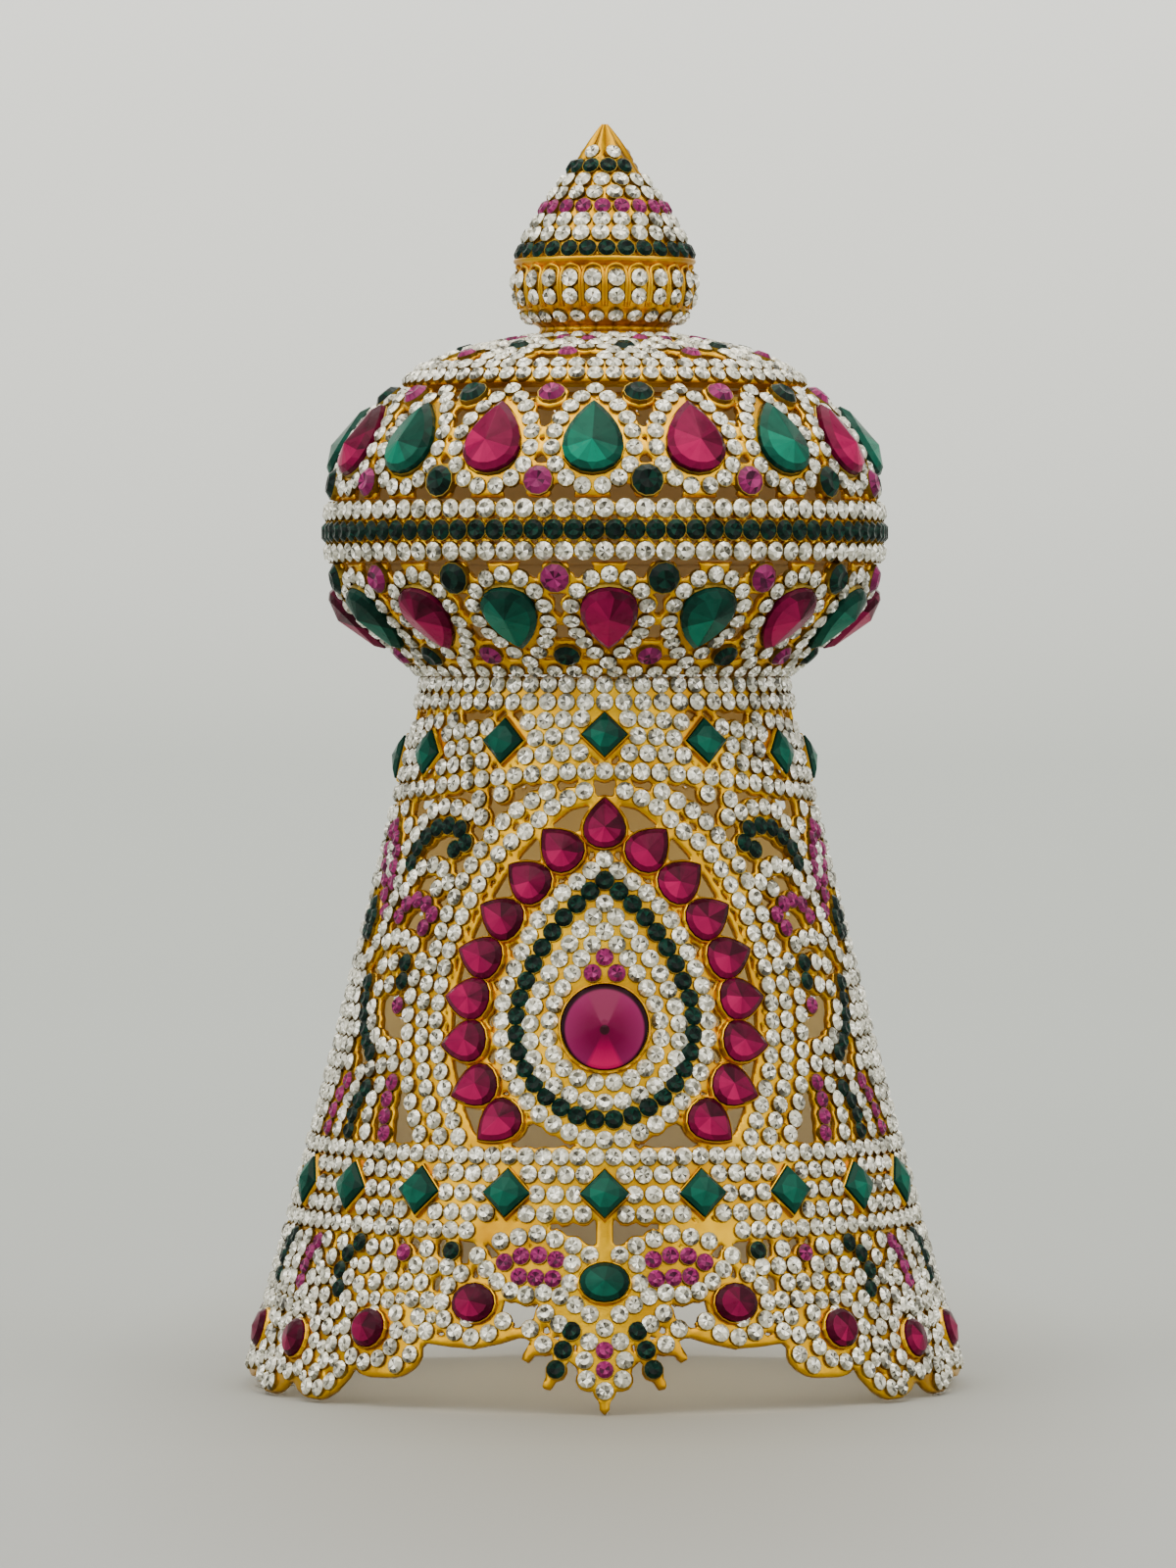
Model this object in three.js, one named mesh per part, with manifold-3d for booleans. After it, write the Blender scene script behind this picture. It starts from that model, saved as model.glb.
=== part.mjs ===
// A tall stone-set crown for a temple figure: two rolled and pierced skirt castings, a pumpkin-shaped dome of
// pierced bands, a cap and a pointed finial, with the large cut stones as pieces of their own.
// Millimetres, +Z up, the front faces -Y, and the origin is under the crown's axis where its rim rests.
import * as THREE from "three";
import { mergeVertices } from "three/addons/utils/BufferGeometryUtils.js";
import Module from "manifold-3d";

const wasm = await Module();
wasm.setup();

// ---- driving dimensions -------------------------------------------------------------------------------------
const crownHeight = 228.6; // nine inches, rim to tip
const wall = 1.3; // thickness of every casting
const seat = 0.3; // gap between pieces that rest on each other
const seamHalfAngle = 0.2; // degrees left free at each side seam of the skirt
const skirtTop = 128.2;
const skirtTopRadius = 32.6;
const skirtFlare = 0.222; // growth of the radius for each millimetre down from the top
const skirtBell = 0.000265; // extra growth that makes the sides slightly hollow
const bandRise = 0.7; // how far the plain bands of the skirt stand out
const bandSag = 4.5; // how much lower the upper diamond band lies at the sides than at the front
const petals = 16; // large pear stones in each tier of the dome
const upperTurn = -2.5; // degrees that the upper tier is turned from the front
const lowerTurn = 1.0; // the same for the lower tier
const domeSides = 32;
const padRise = 0.6; // flat top of a stone's setting above the casting
const padMargin = 0.8; // setting left showing round a stone
const padSides = 6;
const footDepth = -1.1; // how far a setting reaches into the casting
const goldColour = 0xd9a12a;
const rubyColour = 0xb3124e;
const emeraldColour = 0x0b6b4a;

const domePear = { length: 13.6, width: 10.0, girdle: 0.9, height: 3.0, sides: 8 };
const panelPear = { length: 8.6, width: 6.4, girdle: 1.2, height: 2.1, sides: 6 };
const medallionStone = { radius: 7.6, z: 66.6, girdle: 1.2, height: 3.8, sides: 16 };
const browStone = { across: 8.4, up: 6.6, z: 22.6, girdle: 1.0, height: 2.4, sides: 10 };

const gold = new THREE.MeshStandardMaterial({ color: goldColour, roughness: 0.25, metalness: 1.0 });
const ruby = new THREE.MeshStandardMaterial({ color: rubyColour, roughness: 0.08, metalness: 0.0 });
const emerald = new THREE.MeshStandardMaterial({ color: emeraldColour, roughness: 0.08, metalness: 0.0 });

// ---- surfaces of revolution: [radius, height] from the bottom up --------------------------------------------------
const skirtRadius = (z) => {
  const below = skirtTop - z;
  return skirtTopRadius + skirtFlare * below + skirtBell * below * below;
};
const skirtSurface = [-4, 24, 52, 78, 104, skirtTop].map((z) => [skirtRadius(z), z]);
const lowerSurface = [
  [33.0, 128.5],
  [33.6, 131.0],
  [42.2, 135.6],
  [47.4, 142.4],
  [48.9, 148.5],
];
const upperSurface = [
  [48.9, 160.3],
  [46.7, 167.6],
  [42.2, 175.2],
  [35.2, 181.2],
];
const capSection = [
  [9.0, 188.5],
  [22.0, 186.6],
  [35.6, 181.9],
  [35.6, 183.2],
  [22.4, 188.0],
  [9.0, 189.8],
];
const bandSection = [
  [48.6, 148.8],
  [49.6, 148.8],
  [50.2, 151.0],
  [50.2, 157.8],
  [49.6, 160.0],
  [48.6, 160.0],
];
const finialSection = [
  [12.4, 190.1],
  [12.2, 191.6],
  [15.2, 193.8],
  [16.8, 199.0],
  [16.0, 202.6],
  [16.8, 203.6],
  [13.4, 209.8],
  [7.6, 219.6],
  [2.6, 226.2],
  [0.0, crownHeight],
  [0.0, 222.6],
  [10.0, 210.2],
  [13.8, 202.6],
  [14.2, 197.0],
  [9.6, 192.8],
  [9.4, 190.1],
];

const radians = THREE.MathUtils.degToRad;

function radiusAt(surface, z) {
  const last = surface.length - 2;
  let k = 0;
  while (k < last && z > surface[k + 1][1]) k++;
  const [[r0, z0], [r1, z1]] = [surface[k], surface[k + 1]];
  return r0 + ((r1 - r0) * (z - z0)) / (z1 - z0);
}

// Unit outward normal of a surface at a height, as [radial part, upward part].
function normalAt(surface, z) {
  const step = 2;
  const [low, high] = [Math.max(z - step, surface[0][1]), Math.min(z + step, surface.at(-1)[1])];
  const slope = (radiusAt(surface, high) - radiusAt(surface, low)) / (high - low);
  const length = Math.hypot(1, slope);
  return [1 / length, -slope / length];
}

// The point at an angle from the front and a height, lifted along the normal by some millimetres.
function onSurface(surface, angle, z, lift) {
  const [out, up] = normalAt(surface, z);
  const r = radiusAt(surface, z) + lift * out;
  return new THREE.Vector3(r * Math.sin(radians(angle)), -r * Math.cos(radians(angle)), z + lift * up);
}

// A frame on the surface: x along the ring, y up the surface, z outward, turned in its own plane.
function frameOn(surface, angle, z, lift, turn = 0) {
  const [out, up] = normalAt(surface, z);
  const across = new THREE.Vector3(Math.cos(radians(angle)), Math.sin(radians(angle)), 0);
  const outward = new THREE.Vector3(out * Math.sin(radians(angle)), -out * Math.cos(radians(angle)), up);
  const upward = new THREE.Vector3().crossVectors(outward, across);
  const frame = new THREE.Matrix4().makeBasis(across, upward, outward);
  frame.setPosition(onSurface(surface, angle, z, lift));
  return frame.multiply(new THREE.Matrix4().makeRotationZ(radians(turn)));
}

// ---- solids ---------------------------------------------------------------------------------------------------
function closedMesh(points, faces) {
  const geometry = new THREE.BufferGeometry();
  geometry.setAttribute("position", new THREE.Float32BufferAttribute(points.flatMap((p) => [p.x, p.y, p.z]), 3));
  geometry.setIndex(faces.flat());
  return geometry;
}

function toManifold(geometry) {
  const bare = geometry.clone();
  for (const name of Object.keys(bare.attributes)) if (name !== "position") bare.deleteAttribute(name);
  const merged = mergeVertices(bare, 1e-4);
  return new wasm.Manifold(
    new wasm.Mesh({
      numProp: 3,
      vertProperties: new Float32Array(merged.attributes.position.array),
      triVerts: new Uint32Array(merged.index.array),
    }),
  );
}

function toGeometry(solid) {
  const mesh = solid.getMesh();
  const geometry = new THREE.BufferGeometry();
  geometry.setAttribute("position", new THREE.BufferAttribute(new Float32Array(mesh.vertProperties), 3));
  geometry.setIndex(new THREE.BufferAttribute(new Uint32Array(mesh.triVerts), 1));
  geometry.computeVertexNormals();
  return geometry;
}

const joined = (solids) => solids.reduce((all, one) => all.add(one));
const tidied = (solid) => solid.asOriginal().simplify(0.03);

// Sections of [radius, height] points, anticlockwise, one at each listed angle round the axis, skinned together.
function skin(sections, angles) {
  const points = sections.flatMap((section, k) => {
    const [c, s] = [Math.cos(radians(angles[k])), Math.sin(radians(angles[k]))];
    return section.map(([r, z]) => new THREE.Vector3(r * s, -r * c, z));
  });
  const n = sections[0].length;
  const faces = [];
  for (let i = 0; i + 1 < angles.length; i++)
    for (let j = 0; j < n; j++) {
      const [a, b] = [i * n + j, i * n + ((j + 1) % n)];
      faces.push([a, a + n, b + n], [a, b + n, b]);
    }
  const flatten = (section) => section.map(([r, z]) => new THREE.Vector2(r, z));
  const end = (angles.length - 1) * n;
  for (const [a, b, c] of THREE.ShapeUtils.triangulateShape(flatten(sections[0]), [])) faces.push([a, b, c]);
  for (const [a, b, c] of THREE.ShapeUtils.triangulateShape(flatten(sections.at(-1)), []))
    faces.push([end + a, end + c, end + b]);
  return toManifold(closedMesh(points, faces));
}

const sweep = (section, angles) => skin(angles.map(() => section), angles);

// A whole turned ring, from a profile that closes on itself.
function turned(section, sides) {
  const outline = [...section, section[0]].map(([r, z]) => new THREE.Vector2(r, z));
  const lathe = new THREE.LatheGeometry(outline, sides);
  lathe.rotateX(Math.PI / 2);
  return toManifold(lathe);
}

// The wall under a surface: its outer points, then its inner points on the way back.
function wallSection(surface) {
  const inner = surface.map(([r, z], k) => {
    const [out, up] = normalAt(surface, z);
    const end = k === 0 || k === surface.length - 1;
    return end ? [r - wall, z] : [r - wall * out, z - wall * up];
  });
  return [...surface, ...inner.reverse()];
}

// A block that follows a surface: an outline of [angle, height] points between two lifts.
function blockOn(surface, outline, low, high) {
  const mid = outline.reduce((sum, [, z]) => sum + z, 0) / outline.length;
  const perDegree = radians(radiusAt(surface, mid));
  const flatten = (rows) => rows.map(([a, z]) => new THREE.Vector2(a * perDegree, z));
  const ordered = THREE.ShapeUtils.isClockWise(flatten(outline)) ? [...outline].reverse() : outline;
  const n = ordered.length;
  const points = [low, high].flatMap((lift) => ordered.map(([a, z]) => onSurface(surface, a, z, lift)));
  const faces = [];
  for (const [a, b, c] of THREE.ShapeUtils.triangulateShape(flatten(ordered), [])) {
    faces.push([a, c, b]);
    faces.push([n + a, n + b, n + c]);
  }
  for (let i = 0; i < n; i++) {
    const j = (i + 1) % n;
    faces.push([i, j, n + j], [i, n + j, n + i]);
  }
  return toManifold(closedMesh(points, faces));
}

// Outline points given in millimetres about a place on the surface, turned anticlockwise as seen from outside.
function placed(surface, angle, z, points, turn = 0) {
  const perDegree = radians(radiusAt(surface, z));
  const [out] = normalAt(surface, z);
  const [c, s] = [Math.cos(radians(turn)), Math.sin(radians(turn))];
  return points.map(([x, y]) => [angle + (x * c - y * s) / perDegree, z + (x * s + y * c) * out]);
}

// An oval of straight sides; three sides make a triangle that stands on its point.
const oval = (sides, across, up) =>
  Array.from({ length: sides }, (_, k) => {
    const t = (2 * Math.PI * (k + (sides % 2 ? 0.25 - sides / 4 + 0.5 * sides : 0.5))) / sides;
    return [(across / 2) * Math.cos(t), (up / 2) * Math.sin(t)];
  });

const diamond = (size) => [
  [size / 2, 0],
  [0, size / 2],
  [-size / 2, 0],
  [0, -size / 2],
];

// Pear outline with its tip up, widest a third of the way from the round end.
const pearBulge = 0.7698;
const pear = (length, width, sides) =>
  Array.from({ length: sides }, (_, k) => {
    const t = (2 * Math.PI * k) / sides;
    return [((-width / 2) * Math.sin(t) * Math.abs(Math.sin(t / 2))) / pearBulge, (length / 2) * Math.cos(t)];
  });

// A cut stone in its own frame: flat back at height 0, upright girdle, and facets that meet at a point.
function cutStone(outline, girdle, height, pointY = 0) {
  const n = outline.length;
  const points = [0, girdle].flatMap((z) => outline.map(([x, y]) => new THREE.Vector3(x, y, z)));
  points.push(new THREE.Vector3(0, pointY, height));
  const faces = [];
  for (let i = 0; i < n; i++) {
    const j = (i + 1) % n;
    faces.push([i, j, n + j], [i, n + j, n + i], [n + i, n + j, 2 * n]);
    if (i > 0 && j > 0) faces.push([0, j, i]);
  }
  return closedMesh(points, faces);
}

// A flat-ended block in the frame of a place on the surface, between two lifts.
function prism(surface, angle, z, outline, low, high, turn = 0) {
  const shape = new THREE.Shape(outline.map(([x, y]) => new THREE.Vector2(x, y)));
  const block = new THREE.ExtrudeGeometry(shape, { depth: high - low, bevelEnabled: false });
  return toManifold(block).transform(frameOn(surface, angle, z, low, turn).toArray());
}

// A low stone of few sides that is one with its setting.
function joinedStone(surface, angle, z, outline, girdle, height, turn = 0) {
  const stone = toManifold(cutStone(outline, girdle - footDepth, height - footDepth));
  return stone.transform(frameOn(surface, angle, z, footDepth, turn).toArray());
}

function named(name, geometry, material) {
  const mesh = new THREE.Mesh(geometry, material);
  mesh.name = name;
  return mesh;
}

function looseStone(name, geometry, material, surface, angle, z, lift, turn = 0) {
  const mesh = named(name, geometry, material);
  frameOn(surface, angle, z, lift, turn).decompose(mesh.position, mesh.quaternion, mesh.scale);
  return mesh;
}

// ---- skirt: one casting for the front half and the same again for the back --------------------------------------
// Lower edge of a quarter of the rim: the brow pendant, the arch beside it, and lobes that step down to the sides.
const rimEdge = [
  { angle: 0.0, z: 1.4 },
  { angle: 3.2, z: 5.2 },
  { angle: 5.0, z: 8.6 },
  { angle: 8.2, z: 4.6 },
  { angle: 9.6, z: 10.6 },
  { angle: 12.6, z: 9.0 },
  { angle: 14.0, z: 12.6 },
  { angle: 29.4, z: 11.8 },
  { angle: 31.0, z: 8.0 },
  { angle: 36.0, z: 4.8 },
  { angle: 43.0, z: 6.6 },
  { angle: 45.0, z: 3.0 },
  { angle: 49.5, z: -0.6 },
  { angle: 56.5, z: -0.6 },
  { angle: 60.6, z: 3.4 },
  { angle: 63.5, z: -0.6 },
  { angle: 70.5, z: -0.6 },
  { angle: 75.0, z: 3.4 },
  { angle: 80.0, z: 1.4 },
  { angle: 92.0, z: 1.0 },
];

// The pears that fan round the medallion, from its top down one side; lean is the tip's angle from upright.
const panelPears = [
  { angle: 0.0, z: 102.4, lean: 0 },
  { angle: 11.6, z: 98.0, lean: 44 },
  { angle: 19.2, z: 92.2, lean: 54 },
  { angle: 25.2, z: 85.6, lean: 63 },
  { angle: 29.4, z: 78.6, lean: 74 },
  { angle: 31.2, z: 71.2, lean: 87 },
  { angle: 30.6, z: 63.6, lean: 99 },
  { angle: 26.8, z: 56.0, lean: 112 },
  { angle: 20.8, z: 49.6, lean: 132 },
];

// Openings cut through one side: between the pears, under the medallion, the eyes of the scrolls, beside the
// bosses, between the feathers, and above and below the upper diamonds.
const panelGaps = [
  { angle: 8.4, z: 103.8, across: 3.8, up: 3.4, lean: 20, sides: 3 },
  { angle: 19.0, z: 98.6, across: 3.8, up: 3.8, lean: 49, sides: 3 },
  { angle: 26.4, z: 91.9, across: 3.8, up: 3.8, lean: 58, sides: 3 },
  { angle: 31.8, z: 84.4, across: 3.8, up: 3.8, lean: 69, sides: 3 },
  { angle: 34.8, z: 76.2, across: 3.8, up: 3.8, lean: 80, sides: 3 },
  { angle: 35.4, z: 67.4, across: 3.8, up: 3.8, lean: 93, sides: 3 },
  { angle: 32.4, z: 58.9, across: 3.8, up: 3.8, lean: 105, sides: 3 },
  { angle: 26.8, z: 50.2, across: 3.6, up: 3.8, lean: 122, sides: 3 },
  { angle: 11.4, z: 46.6, across: 7.6, up: 2.4, lean: -8, sides: 4 },
  { angle: 42.0, z: 107.6, across: 4.4, up: 2.6, lean: 0, sides: 4 },
  { angle: 44.0, z: 121.2, across: 7.0, up: 2.0, lean: 0, sides: 4 },
  { angle: 49.0, z: 98.2, across: 8.6, up: 3.4, lean: 8, sides: 4 },
  { angle: 50.0, z: 92.0, across: 5.4, up: 2.8, lean: 12, sides: 4 },
  { angle: 51.4, z: 85.2, across: 5.4, up: 3.2, lean: 10, sides: 4 },
  { angle: 55.6, z: 67.4, across: 5.4, up: 4.8, lean: 0, sides: 5 },
  { angle: 45.0, z: 51.2, across: 2.6, up: 10.4, lean: 0, sides: 4 },
  { angle: 14.0, z: 17.2, across: 2.4, up: 3.0, lean: 0, sides: 4 },
];

// The raised field of the medallion, from its tip down one side.
const medallionEdge = [
  { angle: 0.0, z: 97.8 },
  { angle: 6.4, z: 94.0 },
  { angle: 13.0, z: 89.0 },
  { angle: 19.2, z: 82.4 },
  { angle: 22.8, z: 75.0 },
  { angle: 24.0, z: 68.4 },
  { angle: 22.6, z: 60.4 },
  { angle: 18.4, z: 53.6 },
  { angle: 11.4, z: 48.8 },
  { angle: 0.0, z: 46.2 },
];
const medallionRise = 0.8;
const collar = { margin: 1.3, top: 2.4 };

const rimOvals = [
  { angle: 22.2, z: 19.0, across: 7.8, up: 7.0 },
  { angle: 42.0, z: 13.4, across: 7.4, up: 7.0 },
  { angle: 60.8, z: 10.4, across: 7.0, up: 7.2 },
  { angle: 80.0, z: 10.4, across: 7.2, up: 7.2 },
];
const upperDiamonds = { step: 30, z: 118.0, size: 8.0, sag: bandSag };
const lowerDiamonds = { step: 18, z: 37.8, size: 8.6, sag: 0 };
const waistBand = { low: 43.0, high: 45.6 };
const neckBand = { low: 122.6, high: skirtTop };

const mirrored = (rows) => [
  ...rows,
  ...rows.filter((row) => row.angle > 0).map((row) => ({ ...row, angle: -row.angle, lean: -(row.lean ?? 0) })),
];

function diamondBand({ step, z, size, sag }) {
  const stones = [];
  for (let k = -4; k <= 4; k++) {
    const angle = k * step;
    if (Math.abs(angle) > 80) continue;
    const drop = sag * Math.sin(radians(angle)) ** 2;
    stones.push(joinedStone(skirtSurface, angle, z - drop, diamond(size), 0.8, 2.2));
  }
  return stones;
}

// The section of the skirt, with its two plain bands standing out.
function bandedSkirt() {
  const at = (z, extra) => [skirtRadius(z) + extra, z];
  const outside = [at(-4, 0)];
  outside.push(at(waistBand.low, 0), at(waistBand.low + 0.3, bandRise), at(waistBand.high, bandRise));
  outside.push(at(waistBand.high + 0.3, 0), at(84, 0));
  outside.push(at(neckBand.low, 0), at(neckBand.low + 0.3, bandRise), at(neckBand.high, bandRise));
  return [...outside, at(neckBand.high, -wall), at(84, -wall), at(40, -wall), at(-4, -wall)];
}

// Everything below the rim's edge, reaching right through the wall.
function belowRim() {
  const left = rimEdge.slice(1).map(({ angle, z }) => ({ angle: -angle, z }));
  const edge = [...left.reverse(), ...rimEdge];
  const sections = edge.map(({ z }) => [
    [skirtRadius(0) - 8, -9],
    [skirtRadius(0) + 8, -9],
    [skirtRadius(z) + 4, z],
    [skirtRadius(z) - 4, z],
  ]);
  const edgeAngles = edge.map(({ angle }) => angle);
  const floor = toManifold(new THREE.BoxGeometry(200, 200, 20).translate(0, 0, -10));
  return skin(sections, edgeAngles).add(floor);
}

function medallionField(angles) {
  const right = medallionEdge.map(({ angle, z }) => [angle, z]);
  const left = right.slice(1, -1).map(([angle, z]) => [-angle, z]);
  const { radius, z, sides } = medallionStone;
  const round = (extra) => oval(sides, 2 * (radius + extra), 2 * (radius + extra));
  const cup = prism(skirtSurface, 0, z, round(collar.margin), footDepth, collar.top);
  const well = prism(skirtSurface, 0, z, round(seat), medallionRise, 6);
  const heights = [44, 70, 100];
  const top = heights.map((h) => [skirtRadius(h) + medallionRise, h]);
  const foot = heights.map((h) => [skirtRadius(h) - 0.5, h]).reverse();
  const field = sweep([...top, ...foot], angles).intersect(
    blockOn(skirtSurface, [...right, ...left.reverse()], -9, 12),
  );
  return field.add(cup).subtract(well);
}

function skirtHalf() {
  const reach = 90 - seamHalfAngle;
  const steps = 14;
  const angles = Array.from({ length: steps + 1 }, (_, k) => -reach + (2 * reach * k) / steps);
  const { length, width, sides, girdle, height } = panelPear;
  const browPad = oval(browStone.sides, browStone.across + 2 * padMargin, browStone.up + 2 * padMargin);
  const raised = [
    medallionField(angles.filter((a) => Math.abs(a) < 30)),
    prism(skirtSurface, 0, browStone.z, browPad, footDepth, padRise),
    ...mirrored(panelPears).map(({ angle, z, lean }) =>
      joinedStone(skirtSurface, angle, z, pear(length, width, sides), girdle, height, -lean),
    ),
    ...diamondBand(upperDiamonds),
    ...diamondBand(lowerDiamonds),
    ...mirrored(rimOvals).map(({ angle, z, across, up }) =>
      joinedStone(skirtSurface, angle, z, oval(6, across, up), 1.2, 2.2),
    ),
  ];
  const gaps = mirrored(panelGaps).map(({ angle, z, across, up, lean, sides: corners }) =>
    blockOn(skirtSurface, placed(skirtSurface, angle, z, oval(corners, across, up), -lean), -4, 4),
  );
  return tidied(joined([sweep(bandedSkirt(), angles), ...raised]).subtract(joined([belowRim(), ...gaps])));
}

// ---- dome tiers ---------------------------------------------------------------------------------------------------
// Places in one repeat of each tier: the pear, the round stones between pears, and the openings.
const upperTier = {
  surface: upperSurface,
  turn: upperTurn,
  pear: { z: 170.2, lean: 0 },
  rounds: [
    { z: 177.8, size: 4.8 },
  ],
  gaps: [
    { z: 173.2, across: 4.2, up: 4.4, lean: 0 },
  ],
};
const lowerTier = {
  surface: lowerSurface,
  turn: lowerTurn,
  pear: { z: 139.4, lean: 180 },
  rounds: [
    { z: 145.6, size: 5.0 },
  ],
  gaps: [{ z: 137.4, across: 4.0, up: 6.0, lean: 0 }],
};

function tier({ surface, turn, pear: stone, rounds, gaps }) {
  const step = 360 / petals;
  const outline = pear(domePear.length + 2 * padMargin, domePear.width + 2 * padMargin, padSides);
  const raised = [];
  const cuts = [];
  for (let k = 0; k < petals; k++) {
    const angle = turn + k * step;
    const between = angle + step / 2;
    raised.push(prism(surface, angle, stone.z, outline, footDepth, padRise, stone.lean));
    for (const { z, size } of rounds) raised.push(joinedStone(surface, between, z, oval(5, size, size), 1.0, 2.0));
    for (const { z, across, up } of gaps)
      cuts.push(blockOn(surface, placed(surface, between, z, oval(3, across, up), 0), -4, 4));
  }
  const shell = turned(wallSection(surface), domeSides).rotate([0, 0, turn + 180 / domeSides]);
  return tidied(joined([shell, ...raised]).subtract(joined(cuts)));
}

function tierStones(label, { surface, turn, pear: stone }, colours) {
  const { length, width, sides, girdle, height } = domePear;
  return Array.from({ length: petals }, (_, k) => {
    const name = `${label}_stone_${String(k + 1).padStart(2, "0")}`;
    const cut = cutStone(pear(length, width, sides), girdle, height, -length / 6);
    const angle = turn + (k * 360) / petals;
    return looseStone(name, cut, colours[k % 2], surface, angle, stone.z, padRise + seat, stone.lean);
  });
}

// ---- the crown -------------------------------------------------------------------------------------------------
const group = new THREE.Group();
group.name = "deity_crown";

const half = skirtHalf();
group.add(named("skirt_front", toGeometry(half), gold));
group.add(named("skirt_back", toGeometry(half.rotate([0, 0, 180])), gold));
group.add(named("dome_lower_tier", toGeometry(tier(lowerTier)), gold));
group.add(named("equator_band", toGeometry(turned(bandSection, domeSides)), gold));
group.add(named("dome_upper_tier", toGeometry(tier(upperTier)), gold));
group.add(named("dome_cap", toGeometry(turned(capSection, domeSides)), gold));
group.add(named("finial", toGeometry(turned(finialSection, 20)), gold));

for (const stone of tierStones("upper", upperTier, [emerald, ruby])) group.add(stone);
for (const stone of tierStones("lower", lowerTier, [ruby, emerald])) group.add(stone);
for (const [side, angle] of [
  ["front", 0],
  ["back", 180],
]) {
  const round = oval(medallionStone.sides, 2 * medallionStone.radius, 2 * medallionStone.radius);
  const cone = cutStone(round, medallionStone.girdle, medallionStone.height);
  const lift = medallionRise + seat;
  group.add(looseStone(`medallion_stone_${side}`, cone, ruby, skirtSurface, angle, medallionStone.z, lift));
  const egg = cutStone(oval(browStone.sides, browStone.across, browStone.up), browStone.girdle, browStone.height);
  group.add(looseStone(`brow_stone_${side}`, egg, emerald, skirtSurface, angle, browStone.z, padRise + seat));
}

export default group;
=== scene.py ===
import bpy
import math
import numpy as np
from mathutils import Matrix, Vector


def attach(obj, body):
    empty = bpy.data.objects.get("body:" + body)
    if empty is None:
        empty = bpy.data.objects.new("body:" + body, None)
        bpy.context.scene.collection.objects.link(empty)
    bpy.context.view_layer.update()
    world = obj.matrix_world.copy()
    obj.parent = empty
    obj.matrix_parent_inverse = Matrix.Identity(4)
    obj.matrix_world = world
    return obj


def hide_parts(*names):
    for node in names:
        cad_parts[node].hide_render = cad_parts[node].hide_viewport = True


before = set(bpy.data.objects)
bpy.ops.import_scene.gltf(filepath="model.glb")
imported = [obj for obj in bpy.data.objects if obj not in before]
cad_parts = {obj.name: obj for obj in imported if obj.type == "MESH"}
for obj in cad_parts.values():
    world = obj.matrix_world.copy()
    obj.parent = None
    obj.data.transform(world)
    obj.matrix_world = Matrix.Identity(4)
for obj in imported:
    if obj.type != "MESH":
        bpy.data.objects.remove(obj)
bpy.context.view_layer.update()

# A stone-set temple crown. Lengths are in millimetres until a mesh is made, then metres.
# Angles are in degrees from the front, positive towards +X. s runs up a surface's own profile.

mm = 0.001
degree = math.pi / 180
smallStone = 3.12  # the usual round stone
allRound = 400  # half of a strip that is longer than the way round
noise = np.random.default_rng(7)


def curveThrough(points, perStep, closed=False):
    # a smooth curve through every point
    pts = np.array(points, float)
    if closed:
        ends = np.vstack([pts[-1], pts, pts[0], pts[1]])
    else:
        ends = np.vstack([2 * pts[0] - pts[1], pts, 2 * pts[-1] - pts[-2]])
    fine = []
    for p0, p1, p2, p3 in zip(ends, ends[1:], ends[2:], ends[3:]):
        for t in np.arange(perStep) / perStep:
            fine.append(0.5 * (2 * p1 + (p2 - p0) * t + (2 * p0 - 5 * p1 + 4 * p2 - p3) * t * t
                               + (3 * p1 - p0 - 3 * p2 + p3) * t ** 3))
    return np.array(fine + [ends[-2]])


# A surface of revolution that the work is bent onto.
class Turned:
    def __init__(self, profile, perStep=8):
        self.curve = curveThrough(profile, perStep)
        steps = np.linalg.norm(np.diff(self.curve, axis=0), axis=1)
        self.length = np.concatenate([[0], np.cumsum(steps)])
        slope = np.gradient(self.curve, self.length, axis=0)
        size = np.linalg.norm(slope, axis=1, keepdims=True)
        slope = slope / size
        self.out = np.stack([slope[:, 1], -slope[:, 0]], axis=1)  # (radial, upward) unit normal

    def radius(self, s):
        return np.interp(s, self.length, self.curve[:, 0])

    def height(self, s):
        return np.interp(s, self.length, self.curve[:, 1])

    def along(self, z):  # s at a height, where the profile climbs all the way
        return np.interp(z, self.curve[:, 1], self.length)

    def acrossTop(self, r):  # s at a radius, where the profile narrows all the way
        return np.interp(-np.asarray(r, float), -self.curve[:, 0], self.length)

    def perDegree(self, s):  # millimetres across for each degree
        return degree * self.radius(s)

    def frames(self, angle, s):
        angle, s = np.radians(np.asarray(angle, float)), np.asarray(s, float)
        r, z = self.radius(s), self.height(s)
        nr = np.interp(s, self.length, self.out[:, 0])
        nz = np.interp(s, self.length, self.out[:, 1])
        size = np.hypot(nr, nz)
        nr, nz = nr / size, nz / size
        sn, cs = np.sin(angle), np.cos(angle)
        place = np.stack([r * sn, -r * cs, z], -1)
        across = np.stack([cs, sn, np.zeros_like(cs)], -1)
        outward = np.stack([nr * sn, -nr * cs, nz], -1)
        return place, across, np.cross(outward, across), outward

    def point(self, angle, s, lift):
        place, _, _, outward = self.frames(angle, s)
        return place + outward * np.asarray(lift, float)[..., None]


skirtShape = {"top": 128.2, "bottom": -3, "topRadius": 32.6, "flare": 0.222, "bell": 0.000265}


def skirtRadius(z):
    below = skirtShape["top"] - z
    return skirtShape["topRadius"] + skirtShape["flare"] * below + skirtShape["bell"] * below * below


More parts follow.
